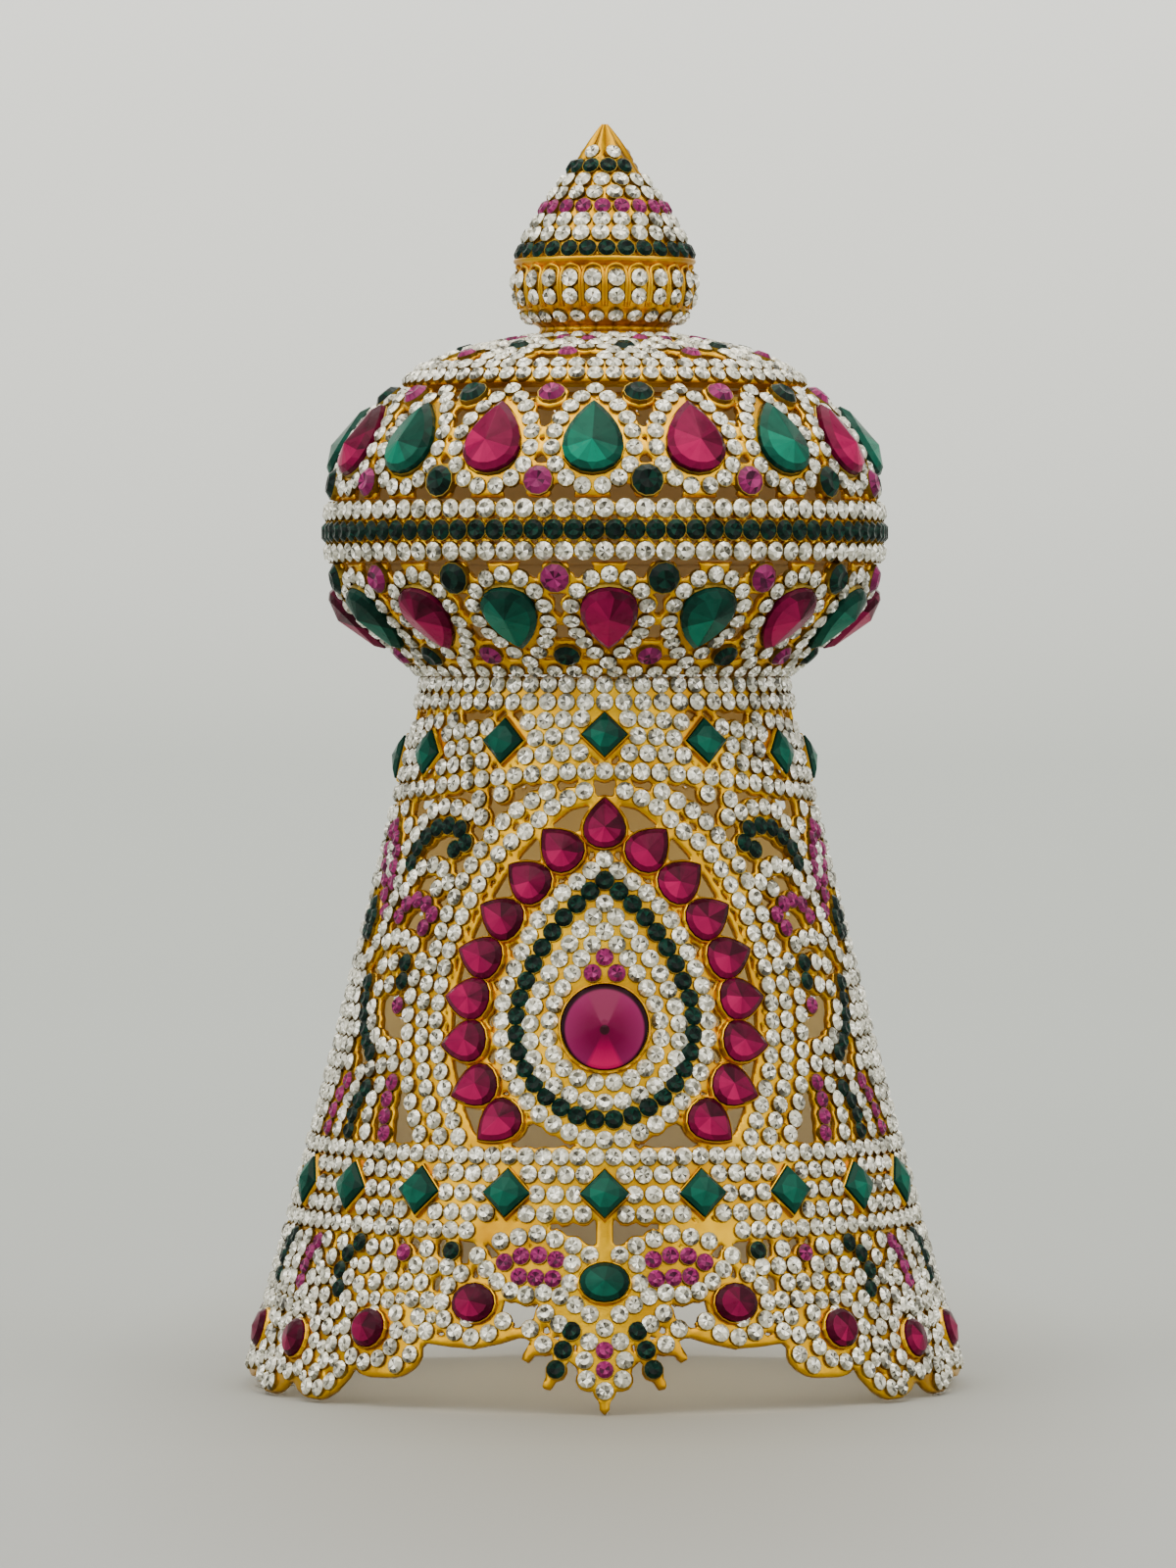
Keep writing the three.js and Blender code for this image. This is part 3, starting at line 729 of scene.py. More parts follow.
def place(obj, slot, nodes=(), turned=0.0):
    obj.rotation_euler[2] = math.radians(turned)
    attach(obj, "root")
    if nodes:
        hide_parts(*nodes)


# painted facet light for each small stone: its tone level and spread, dark specks and wedges, and the depth
# of its painted shade crescent
stoneGlints = {
    "crystal": {"level": 0.75, "spread": 0.2, "speck": 0.22, "wedge": (0.15, 1.1), "shade": 0.6},
    "forest": {"level": 0.45, "spread": 0.2, "speck": 0.2, "wedge": (0.4, 1.2), "shade": 0.2, "grow": 1.08},
    "magenta": {"level": 0.52, "spread": 0.2, "speck": 0.2, "wedge": (0.4, 1.2), "shade": 0.25},
}


def stoneTones(count, kinds, leans, look):
    # painted light in a small stone: a dark wedge in its star, dark specks, and a painted grey shade crescent
    # on the far side of its crown
    star = np.array(kinds) == 1
    facing = np.cos(leans)[None]
    tones = noise.normal(look["level"], look["spread"], (count, len(kinds)))
    dark = facing > noise.uniform(*look["wedge"], (count, 1))
    dark |= noise.uniform(0, 1, (count, len(kinds))) < look["speck"]
    crescent = look["shade"] * noise.uniform(0.2, 1.3, (count, 1)) * np.clip(-facing, 0, 1)
    return np.clip(np.where(star, tones + 0.06 - 0.6 * dark, tones - crescent), 0, 1)


def gemTones(points, faces, kinds, apex, turn, look):
    # Painted light in a large stone: its facets are painted lighter towards its lower left, and its edge is
    # painted dark.
    # Neighbouring slivers share a tone, so they read as one broad facet.
    spread, edge, gain = look.get("spread", 0.1), look.get("edge", 0.0), look.get("gain", 0.33)
    parts = look.get("parts", 8)
    own = noise.normal(look.get("tone", 0.0), spread, parts)
    tones = []
    for face, kind in zip(faces, kinds):
        x, y = np.mean([points[k] for k in face], axis=0)[:2] - np.array(apex, float)
        part = int((math.atan2(y, x) % (2 * math.pi)) * parts / (2 * math.pi)) % parts
        lean = 2 * math.pi * (part + 0.5) / parts + math.radians(turn)
        toward = math.cos(lean - math.radians(235))
        level = [0.1, 0.26 + edge + 0.6 * gain * toward, 0.5 + gain * toward, 0.0][kind]
        tones.append(level + (own[part] + noise.normal(0, 0.2 * spread)) * (kind in (1, 2)))
    return np.clip(np.array([tones]), 0, 1)


def dressZone(zone, backToo=False, gemNodes=None):
    gemNodes = gemNodes or {}  # the solids that a piece stands for, by piece and side
    made, gemBatches = {}, {}
    stonePoints, stoneFaces, stoneKinds, stoneLeans = chatonShape()
    cupPoints, cupFaces = cupShape()
    cups, collars = Batch(), Batch()
    for colour, look in stoneGlints.items():
        mine = [p for p in zone.stones if p[0] == colour]
        if not mine:
            continue
        angle, s, size = (np.array([p[k] for p in mine]) for k in (1, 2, 3))
        size = size * look.get("grow", 1.0)
        spin = noise.uniform(0, 6.28, len(mine))
        lift = noise.normal(0, 0.05, len(mine)) + cup["lift"]
        batch = Batch()
        batch.stamp(stonePoints, stoneFaces, zone.surface, angle, s, size, lift, spin,
                    stoneTones(len(mine), stoneKinds, stoneLeans, look))
        cups.stamp(cupPoints, cupFaces, zone.surface, angle, s, size, lift, spin)
        made[colour] = batch
    for colour, angle, s, turn, outline, girdle, height, apex, options in zone.gems:
        points, faces, kinds = gemShape(outline, girdle, height, apex, **options.get("cut", {}))
        batch = gemBatches.setdefault(options.get("piece", colour), (colour, Batch()))[1]
        tone = gemTones(points, faces, kinds, apex, turn, options)
        batch.stamp(points, faces, zone.surface, [angle], [s], [1.0], [options.get("lift", 0.5)],
                    [math.radians(turn)], tone)
        points, faces = bezelShape(outline, 0.12, options.get("bezel", 0.7), options.get("lip", 1.3))
        # a dull collar is made in the cups' darkened gold: painted shade that outlines the stone
        holder = cups if options.get("dull") else collars
        holder.stamp(points, faces, zone.surface, [angle], [s], [1.0], [0.0], [math.radians(turn)])
    for side, turn in (("Front", 0), ("Back", 180)) if backToo else (("", 0),):
        for colour, batch in made.items():
            stones = batch.build(f"{zone.name}{side}_{colour}", stoneLooks[colour])
            place(stones, stoneSlots[colour], turned=turn)
        for piece, (colour, batch) in gemBatches.items():
            gems = batch.build(f"{zone.name}{side}_{piece}Gems", stoneLooks[colour])
            place(gems, stoneSlots[colour], gemNodes.get(piece, {}).get(side, ()), turn)
        place(cups.build(f"{zone.name}{side}_cups", cupShadeGold), "gold", turned=turn)
        if collars.count:
            place(collars.build(f"{zone.name}{side}_collars", goldBright), "gold", turned=turn)
    print(zone.name, "stones", len(zone.stones), "large", len(zone.gems))


def turnedBy(outline, degrees):
    c, sn = math.cos(math.radians(degrees)), math.sin(math.radians(degrees))
    return np.stack([outline[:, 0] * c - outline[:, 1] * sn, outline[:, 0] * sn + outline[:, 1] * c], -1)


def area(zone, corners, grow=0.0, both=False, cut=False):
    # gold kept over a shape with (angle, z) corners, or an opening cut there
    pts = np.array(corners, float)
    s = zone.surface.along(pts[:, 1])
    a0, s0 = pts[:, 0].mean(), s.mean()
    poly = np.stack([(pts[:, 0] - a0) * degree * zone.surface.radius(s), s - s0], -1)
    target = zone.windows if cut else zone.solids
    target.append((a0, s0, poly, grow))
    if both:
        target.append((-a0, s0, poly * np.array([-1, 1]), grow))


def strut(zone, points, width):
    for k in range(len(points) - 1):
        area(zone, [points[k], points[k + 1]], width / 2, True)


def gem(zone, colour, angle, z, outline, girdle, height, turn=0, apex=(0, 0), collar=1.3, **options):
    # a large stone, with a collar of gold kept round it
    s = zone.surface.along(z)
    zone.gems.append((colour, angle, s, turn, outline, girdle, height, apex, options))
    zone.solids.append((angle, s, turnedBy(outline, turn), collar))


# Skirt: half of it is laid out, and the back repeats the front.
skirtLook = {"perHalfNeck": 31, "perHalfBand": 35, "perHalfWaist": 54, "perHalfRim": 57, "sag": 4.5,
             "cell": 0.8, "backKeep": 2.6}
medallionRise = {"middle": 68.5, "across": 19.5, "up": 25.5, "lift": 0.1, "neckFrom": 122, "neckLift": 0.08}
front = Zone("skirt", skirt, goldSkirt)


def sagAt(angle):
    return skirtLook["sag"] * math.sin(math.radians(angle)) ** 2


def ringRow(zone, colour, z, perHalf, inner=0.0, sag=False, outer=91.0):
    for k in range(perHalf):
        a = -90 + 180 * (k + 0.5) / perHalf
        if inner <= abs(a) <= outer:
            zone.stone(colour, a, zone.surface.along(z - (sagAt(a) if sag else 0)))


def betweenDiamonds(zone, step, rows, sag=False):
    for k in range(-int(90 / step), int(90 / step)):
        middle = (k + 0.5) * step
        for z, count, pitch in rows:
            for i in range(count):
                r = zone.surface.radius(zone.surface.along(z))
                a = middle + (i - (count - 1) / 2) * math.degrees(pitch / r)
                if abs(a) < 88.5:
                    zone.stone("crystal", a, zone.surface.along(z - (sagAt(a) if sag else 0)))


# upper diamond band
diamond = {"piece": "emerald", "girdle": 0.9, "lip": 1.0, "bezel": 0.34, "spread": 0.05, "parts": 4,
           "gain": 0.14, "tone": -0.05}
for z in (127.0, 123.9):
    ringRow(front, "crystal", z, skirtLook["perHalfNeck"])
area(front, [(-90, 123), (90, 123), (90, 129), (-90, 129)])
betweenDiamonds(front, 30, [(121.0, 4, 3.25), (118.0, 3, 3.3), (115.0, 4, 3.3)], True)
ringRow(front, "crystal", 111.7, skirtLook["perHalfBand"], sag=True)
for a in (0, 30, -30, 60, -60, 90):
    gem(front, "emerald", a, 118.0 - sagAt(a), diamondOutline(8.0, 2), height=2.3, **diamond)
for points in ([(33, 122.6), (41, 118.6)], [(52, 122.6), (52, 118)], [(70, 122.6), (70, 117)]):
    strut(front, points, 1.0)
for a, z in ((51.5, 120.6), (58.5, 120.4), (64.5, 120.0), (36.3, 106.6), (29.2, 107.6), (71, 119.4),
             (78, 119.0)):
    front.path("crystal", [(a, z)])

# arches round the medallion's frame, and the rows beside them
arches = [
    [(5.5, 108.2), (13.7, 105.5), (20, 101.5), (27.7, 97.2), (34, 89.5), (38.2, 81), (39.3, 71.2),
     (38.0, 64.0), (34, 55.2), (29.4, 47.4)],
    [(15.7, 108.0), (24, 104.7), (30.5, 100.6), (37.7, 92.3), (41.8, 83.7), (43.5, 74.6), (43.2, 68),
     (40.4, 58.7), (36.8, 52.0), (33.6, 47.4)],
    [(46.8, 77.8), (48.2, 72.3), (47.2, 66.0), (44.9, 58.5), (41.4, 51.4), (38.6, 47.6)],
]
for points in arches:
    front.path("crystal", points)

# frame of pears
framePear = {"piece": "rubyFrame", "girdle": 0.7, "height": 2.1, "apex": (0, -1.0), "collar": 0.8, "lip": 1.0,
             "bezel": 0.4, "spread": 0.09, "tone": -0.12}
framePears = [  # angle, height, lean
    (0.0, 102.4, 0), (11.3, 98.0, 44), (19.0, 92.3, 54), (25.1, 85.8, 63), (29.3, 78.8, 74),
    (31.1, 71.4, 87), (30.6, 63.8, 99), (26.9, 56.0, 112), (21.0, 49.9, 132)]
for a, z, lean in framePears:
    for side in (1, -1) if a else (1,):
        gem(front, "ruby", side * a, z, pearOutline(8.9, 7.4, 18), turn=-side * lean, **framePear)
tips = [(0, 107.0), (9.4, 105.6), (17.0, 101.6), (24.6, 95.8), (30.6, 88.4), (34.7, 80.4), (36.2, 72.0),
        (34.9, 62.8), (31.0, 54.0), (26.0, 46.6)]
strut(front, tips, 1.3)
for k in range(1, len(framePears)):  # a three-cornered opening between each two pears
    notch = (np.array(framePears[k - 1][:2]) + np.array(framePears[k][:2])) / 2
    corners = np.array([tips[k + 1], tips[k] if k > 1 else (6.0, 105.4), notch])
    area(front, corners.mean(0) + (corners - corners.mean(0)) * 0.62, 0.15, True, True)

# medallion
medallionRows = [
    ("crystal", [(0, 96.2), (4, 93.7), (11, 89.7), (16.2, 85.1), (19.7, 79), (22.3, 73.2), (22.6, 66.6),
                 (20.9, 60.6), (17, 55.2), (11.8, 50.9), (5, 47.9), (0, 47.2)]),
    ("forest", [(0, 92.4), (4.2, 90), (10.3, 85.3), (15, 79.8), (18, 73.8), (19.3, 69.2), (18.6, 63.8),
                (15.8, 58.6), (11, 54.2), (5.0, 51.3), (0, 50.7)]),
    ("crystal", [(0, 88.4), (2.7, 86.0), (6.0, 83.6), (8.5, 80.8), (11.1, 77.8), (13.7, 74.2), (15.7, 69.6),
                 (16.0, 66.3), (14.9, 61.2), (10.0, 56.4), (4, 54.1), (0, 53.7)]),
]
for colour, half in medallionRows:
    front.loop(colour, half, size=3.18)
front.path("crystal", [(2.85, 81.2), (5.35, 78.7), (7.3, 76.1), (9.3, 73.6), (10.9, 70.8), (11.9, 67.6),
                       (11.4, 63.3), (7.0, 58.6), (1.9, 57.2)], 3.25, 3.14)
front.stone("crystal", 0, skirt.along(83.5), 3.24)
field = [(0, 96), (11, 89.7), (19.7, 79), (22.4, 70), (20.9, 60.6), (11.8, 50.9), (0, 47.2)]
area(front, field + [(-a, z) for a, z in field[-2:0:-1]], 1.6)
for a, z in ((0, 79.0), (2.7, 76.2), (-2.7, 76.2)):
    front.stone("magenta", a, skirt.along(z), 3.2)
medallion = {"piece": "medallion", "girdle": 0.7, "height": 3.6, "collar": 1.6, "lift": 0.9, "lip": 1.5,
             "bezel": 0.5, "spread": 0.012, "tone": -0.1, "edge": -0.2,
             "cut": {"shoulder": 0.94, "shoulderHeight": 0.12, "dot": 0.1}}
gem(front, "domedRuby", 0, domedLook["height"], ovalOutline(15.2, 15.2, 64), **medallion)

# scrolls, leaves and feathers at the sides
sideRows = [
    ("forest", [(58.3, 95.0), (56.0, 98.2), (50.2, 101.2), (45.5, 101.8), (41, 101.2), (38.6, 98.8)]),
    ("forest", [(42.0, 97.6)]),
    ("crystal", [(62.0, 97.6), (57, 101.8), (53, 104.2), (46.5, 105.2), (39.6, 104.3), (34.6, 103.4)]),
    ("crystal", [(58.7, 90), (54.5, 93.6), (49.2, 94.8), (45, 94.2), (42.2, 91.8)]),
    ("crystal", [(46.0, 90.6)]),
    ("magenta", [(58.7, 85.5), (55.4, 88.0), (50.2, 88.4), (45.8, 86.0)]),
    ("magenta", [(48.2, 83.6)]),
    ("crystal", [(62, 80.8), (56.5, 82.0), (50.5, 80.6)]),
    ("forest", [(52.2, 77.3), (51.9, 74.1)]),
    ("crystal", [(56.9, 77.3), (56.6, 73.4)]),
    ("magenta", [(52, 69.8)]),
    ("crystal", [(62.2, 69.2), (59.5, 65.4), (55.4, 62.8), (51.2, 62.4)]),
    ("crystal", [(61.4, 76.6), (61.0, 72.6)]),
    ("forest", [(67, 73.4), (65.6, 68.4), (62.4, 64.4), (58.4, 61.2)]),
    ("magenta", [(77, 100.5), (77.2, 96.6), (72.2, 92.0), (67.0, 86.2)]),
    ("magenta", [(73, 101.4), (68.4, 96.8), (66.2, 91.4)]),
    ("crystal", [(72.8, 97.4), (69.2, 93.4)]),
    ("crystal", [(68.5, 104.6), (64, 101.6)]),
    ("crystal", [(62.6, 94.2), (62.9, 90.6), (63.8, 86.6), (66.2, 82.4), (70, 78.4)]),
    ("forest", [(77.0, 87.2), (74.2, 84.4), (77.0, 81.6), (79.8, 84.4), (77.0, 87.2)]),
    ("crystal", [(60.8, 57.6), (54.6, 58.9), (49.5, 59.6)]),
    ("magenta", [(48.6, 56.3), (49.3, 52.6), (48.0, 47.4)]),
    ("crystal", [(52.6, 55.8), (54.6, 52.0), (54.0, 47.4)]),
    ("forest", [(57.0, 55.0), (59.6, 51.6), (60.0, 47.4)]),
    ("crystal", [(61.4, 54.8), (64.0, 51.4), (65.0, 47.4)]),
    ("magenta", [(65.6, 56.0), (68.8, 52.4), (70.3, 47.4)]),
]
for colour, points in sideRows:
    front.path(colour, points)
front.fill("crystal", [(44, 113), (90, 113), (90, 47), (71, 47), (66, 57.5), (66.5, 62), (68.5, 68), (69, 74),
                       (66, 80), (62, 98), (57, 104), (44, 108)])
front.fill("crystal", [(72, 60), (90, 60), (90, 47), (72, 47)])
front.pack("crystal", [(83, 111), (90, 111), (90, 46.5), (83, 46.5)], 3.0)
for slot in ([(44, 98.5), (54, 96.5)], [(53, 91.5), (48, 92)], [(45, 56), (45.2, 47)], [(40, 102), (44, 98)],
             [(60, 88), (61.5, 84)], [(57, 66.5), (50, 67)]):
    area(front, slot, 1.0, True, True)

# lower diamond band
ringRow(front, "crystal", 44.3, skirtLook["perHalfWaist"])
betweenDiamonds(front, 18, [(41.2, 4, 3.3), (37.8, 3, 3.4), (34.4, 4, 3.35)])
ringRow(front, "crystal", 31.3, skirtLook["perHalfRim"], inner=22.6)
for k in range(-4, 5):
    gem(front, "emerald", k * 18, 37.8, diamondOutline(8.5, 2), height=2.4, **diamond)
for a, z in ((90, 41.2), (90, 34.4), (88.35, 37.8), (-88.35, 37.8)):
    front.stone("crystal", a, skirt.along(z))

# rim
rimRows = [
    ("crystal", [(18.6, 29.6), (14.8, 30.5), (11.5, 31), (8.5, 30), (5.3, 28.9), (2.6, 27.4)]),
    ("crystal", [(5.6, 25.9), (5.9, 22.6)]),
    ("crystal", [(2.45, 17.3), (5.0, 19.0), (7.9, 20.5), (10.95, 20.9), (14.2, 20.5), (17.7, 22),
                 (20.4, 24.4), (22.6, 27.0)]),
    ("magenta", [(17.5, 26.0), (14.6, 27.1), (11.4, 27.3), (8.4, 26.6)]),
    ("magenta", [(14.7, 23.6), (8.8, 23.3)]),
    ("magenta", [(37.5, 27.0)]),
    ("crystal", [(32.8, 27.9)]),
    ("forest", [(27.7, 27.7)]),
    ("crystal", [(41.6, 28.0), (42.7, 24.8), (42.9, 21.6)]),
    ("crystal", [(45.1, 27.6), (46.4, 24.4), (46.6, 21.0)]),
    ("forest", [(48.5, 28.2), (51.2, 26.0), (52.4, 23.2), (51.6, 20.0)]),
    ("crystal", [(53.4, 28.0), (55.6, 25.2), (56.2, 21.8), (55.2, 18.6)]),
    ("magenta", [(61.6, 27.7), (64.0, 24.8), (64.8, 20.4)]),
    ("crystal", [(58.4, 28.2), (60.4, 25.0), (60.8, 21.4)]),
    ("crystal", [(66.0, 28.2), (68.0, 25.0), (68.6, 21.0)]),
    ("forest", [(73, 28.0), (76.6, 25.6), (77.0, 20.8)]),
    ("crystal", [(70.4, 27.6), (72.8, 24.4), (73.2, 20.6)]),
    ("forest", [(5.4, 14.4), (6.7, 11), (7.7, 7.8)]),
    ("crystal", [(9.8, 17.4), (7.5, 15.6)]),
    ("crystal", [(9.9, 12.1), (12.2, 14.7)]),
    ("crystal", [(2.5, 12.6), (3.2, 9.4), (2.8, 6.2)]),
]
for colour, points in rimRows:
    front.path(colour, points)
for colour, z in (("crystal", 14.9), ("magenta", 11.1), ("magenta", 7.8), ("crystal", 4.2)):
    front.stone(colour, 0, skirt.along(z))
brow = {"piece": "brow", "girdle": 0.8, "height": 2.4, "collar": 1.5, "lift": 0.7, "lip": 1.3, "bezel": 0.42,
        "spread": 0.06, "tone": -0.14, "gain": 0.16}
gem(front, "emerald", 0, 22.6, ovalOutline(8.6, 6.8, 20), **brow)
rimOval = {"piece": "rubyRim", "girdle": 0.8, "height": 2.1, "collar": 1.2, "bezel": 0.38, "lip": 0.95,
           "spread": 0.08, "tone": -0.27, "gain": 0.26}
rimOvals = [(22.2, 18.8, 7.8, 6.8), (42.0, 13.6, 7.4, 6.8), (60.8, 10.6, 7.2, 6.8), (79.0, 10.8, 7.2, 6.8)]
for a, z, across, up in rimOvals:
    for side in (1, -1):
        gem(front, "ruby", side * a, z, ovalOutline(across, up, 16), **rimOval)
    for t in np.linspace(0, 2 * math.pi, 13)[:-1]:  # a ring of stones round each, where they fit
        x = a + (across / 2 + 2.5) * math.sin(t) / (degree * skirtRadius(z))
        s = skirt.along(z + (up / 2 + 2.4) * math.cos(t))
        if front.clear(x, s, 2.7):
            front.pair("crystal", x, s)
lobes = [
    [(33.4, 12.9), (33.0, 9.3), (35.4, 7.6), (38.6, 7.3), (42, 7.4), (44, 9.2)],
    [(45.2, 12.0), (46.6, 6.6), (50.4, 2.9), (55.4, 2.9), (59.2, 5.2)],
    [(61.6, 5.0), (64.4, 2.7), (70.0, 2.7), (73.4, 5.4)],
    [(75.4, 4.9), (80, 4.0), (85.6, 4.4)],
]
for points in lobes:
    for a, s in front.spaced(points, 3.2):
        if front.clear(a, s, 2.7):
            front.pair("crystal", a, s)
    strut(front, front.smooth(np.array(points, float))[::4], 3.7)
front.fill("crystal", [(26, 29), (90, 29), (90, 6), (72, 5), (56, 4), (47, 6), (44, 12), (30, 14), (20, 15),
                       (26, 23)], reach=2.85)
rimPacks = [  # area, reach, size: the large first, then smaller ones in what is left
    ([(26.5, 21), (28, 14.6), (33.5, 12.2), (41, 7.5), (45, 9.5), (46.5, 7), (52, 3.8), (58, 4.0), (62, 5),
      (70, 3.6), (75, 5.4), (89, 5), (89, 30), (40, 30), (39.5, 24), (33, 21)], 2.95, smallStone),
    ([(28, 21), (28, 14), (41, 8), (50, 4), (89, 5), (89, 30), (40, 30), (39.5, 22)], 2.7, 2.6),
    ([(25.5, 21), (28, 13.4), (41, 8), (50, 4), (89, 5), (89, 30), (60, 30), (39.5, 22)], 2.45, 2.1),
]
for corners, reach, size in rimPacks:
    front.pack("crystal", corners, reach, size)
struts = [  # line, width
    ([(89.3, 8), (89.3, 127)], 1.5), ([(88.2, 122.5), (88.2, 117)], 3.2), ([(0, 33.5), (0, 26.0)], 3.0),
    ([(3.4, 13.5), (6.4, 14.0)], 1.6), ([(0, 17.5), (9.8, 16.5)], 1.8),
    ([(31, 12.7), (26, 12.2), (21.5, 12.1), (17.6, 13.0), (14.4, 14.1), (12.4, 14.6)], 1.7),
]
for points, width in struts:
    strut(front, points, width)
rimAreas = [  # corners, growth, cut: gold kept where no stone stands, and openings
    ([(0, 4.5), (0, 1.2)], 0.9, False),
    ([(7.9, 8.0), (9.0, 5.2)], 0.9, False),
    ([(11.2, 12.5), (12.6, 9.9)], 0.9, False),
    ([(24.6, 33), (12.6, 33), (15.3, 31), (19.5, 30.8), (21.4, 29.0), (23.4, 29.0), (25, 31)], 0.2, False),
    ([(3.4, 13.5), (0, 18.5), (7, 18.5), (9, 15)], 0.4, False),
    ([(29, 19.5), (36, 18.5), (38, 13), (31, 13.5)], 0.4, False),
    ([(26.2, 29.2), (24.6, 29.2), (24.8, 26.4), (25.8, 26.6)], 0.1, True),
    ([(3.0, 31.6), (6.6, 32.2), (3.0, 30.2)], 0.2, True),
    ([(16.2, 17.0), (17.4, 16.8)], 0.7, True),
    ([(15.6, 16.9), (13.4, 18.0), (12.0, 17.4), (13.0, 15.9), (14.8, 15.7)], 0.3, True),
]
for corners, grow, cut in rimAreas:
    area(front, corners, grow, True, cut)


def skirtRelief(angle, s):
    # a soft rise where the medallion and the plain neck band stand out
    rise, z = medallionRise, skirt.height(s)
    d = np.hypot(angle * degree * skirt.radius(s) / rise["across"], (z - rise["middle"]) / rise["up"])
    neck = rise["neckLift"] * np.clip((z - rise["neckFrom"]) / 0.6, 0, 1)
    return rise["lift"] * np.clip((1.05 - d) / 0.12, 0, 1) + neck


skirtSpan = (-89.8, 89.8, skirt.along(0.4), skirt.length[-1] - 0.1, skirtLook["cell"])
place(piercedPlate(front, "skirtFront_gold", *skirtSpan, skirtRelief), "gold", ["skirt_front"])
front.windows.clear()  # the back has broader webs and fewer openings
for k in range(len(framePears) - 1):
    area(front, [framePears[k][:2], tips[k], tips[k + 1], framePears[k + 1][:2]], 1.2, True)
area(front, [(40, 103), (52, 99), (53, 94), (42, 92)], 1.0, True)
area(front, [(-10, 112), (10, 112), (10, 105), (-10, 105)], 1.0)
backPlate = piercedPlate(front, "skirtBack_gold", *skirtSpan, skirtRelief, keep=skirtLook["backKeep"])
place(backPlate, "gold", ["skirt_back"], 180)
dressZone(front, True, {
    "medallion": {"Front": ["medallion_stone_front"], "Back": ["medallion_stone_back"]},
    "brow": {"Front": ["brow_stone_front"], "Back": ["brow_stone_back"]},
})
print("skirt ready")


pearLength = 14.4
# the dome pears' collars are dull: their gold carries painted shade, so they read as dark outlines
domePear = {"girdle": 0.9, "height": 3.4, "apex": (0, -pearLength / 6), "collar": 1.5, "lift": -0.3,
            "dull": True, "lip": -0.3, "bezel": 0.15, "spread": 0.1,
            "cut": {"shoulder": 0.84, "shoulderHeight": 0.42}}
tierMake = {"count": 16, "ringStone": 3.05, "foot": 2.7, "rib": 0.7, "ribHalf": 5.0, "cell": 0.68,
            "backFrom": 100, "backBar": (5.5, 2.2), "backPost": (6.5, 3.4)}
tierLooks = {
    "upper": {"surface": domeUpper, "turn": -2.5, "pearZ": 170.8, "ring": (161.9, 179.1), "lean": 0,
              "width": 10.9, "ringWidth": 14.6, "ringCount": 17, "colours": ("emerald", "ruby"), "tone": 0.02,
              "rounds": [(178.4, "magenta", "forest", 4.8), (163.0, "magenta", "forest", 5.2)],
              "windows": [(0, 174.6, 2.8, 3.4), (4.4, 161.4, 5.0, 2.5), (-4.4, 161.4, 5.0, 2.5),
                          (3.7, 178.4, 2.0, 2.6), (-3.7, 178.4, 2.0, 2.6)]},
    "lower": {"surface": domeLower, "turn": 1.0, "pearZ": 138.9, "ring": (131.3, 146.6), "lean": 180,
              "width": 10.3, "ringWidth": 13.6, "ringCount": 16, "colours": ("ruby", "emerald"),
              "rounds": [(146.0, "magenta", "forest", 5.2), (132.6, "forest", "magenta", 4.4)],
              "windows": [(0, 135.9, 3.5, 3.8), (0, 140.4, 1.4, 4.4), (4.6, 147.5, 5.0, 2.3),
                          (-4.6, 147.5, 5.0, 2.3)], "tone": -0.07},
}


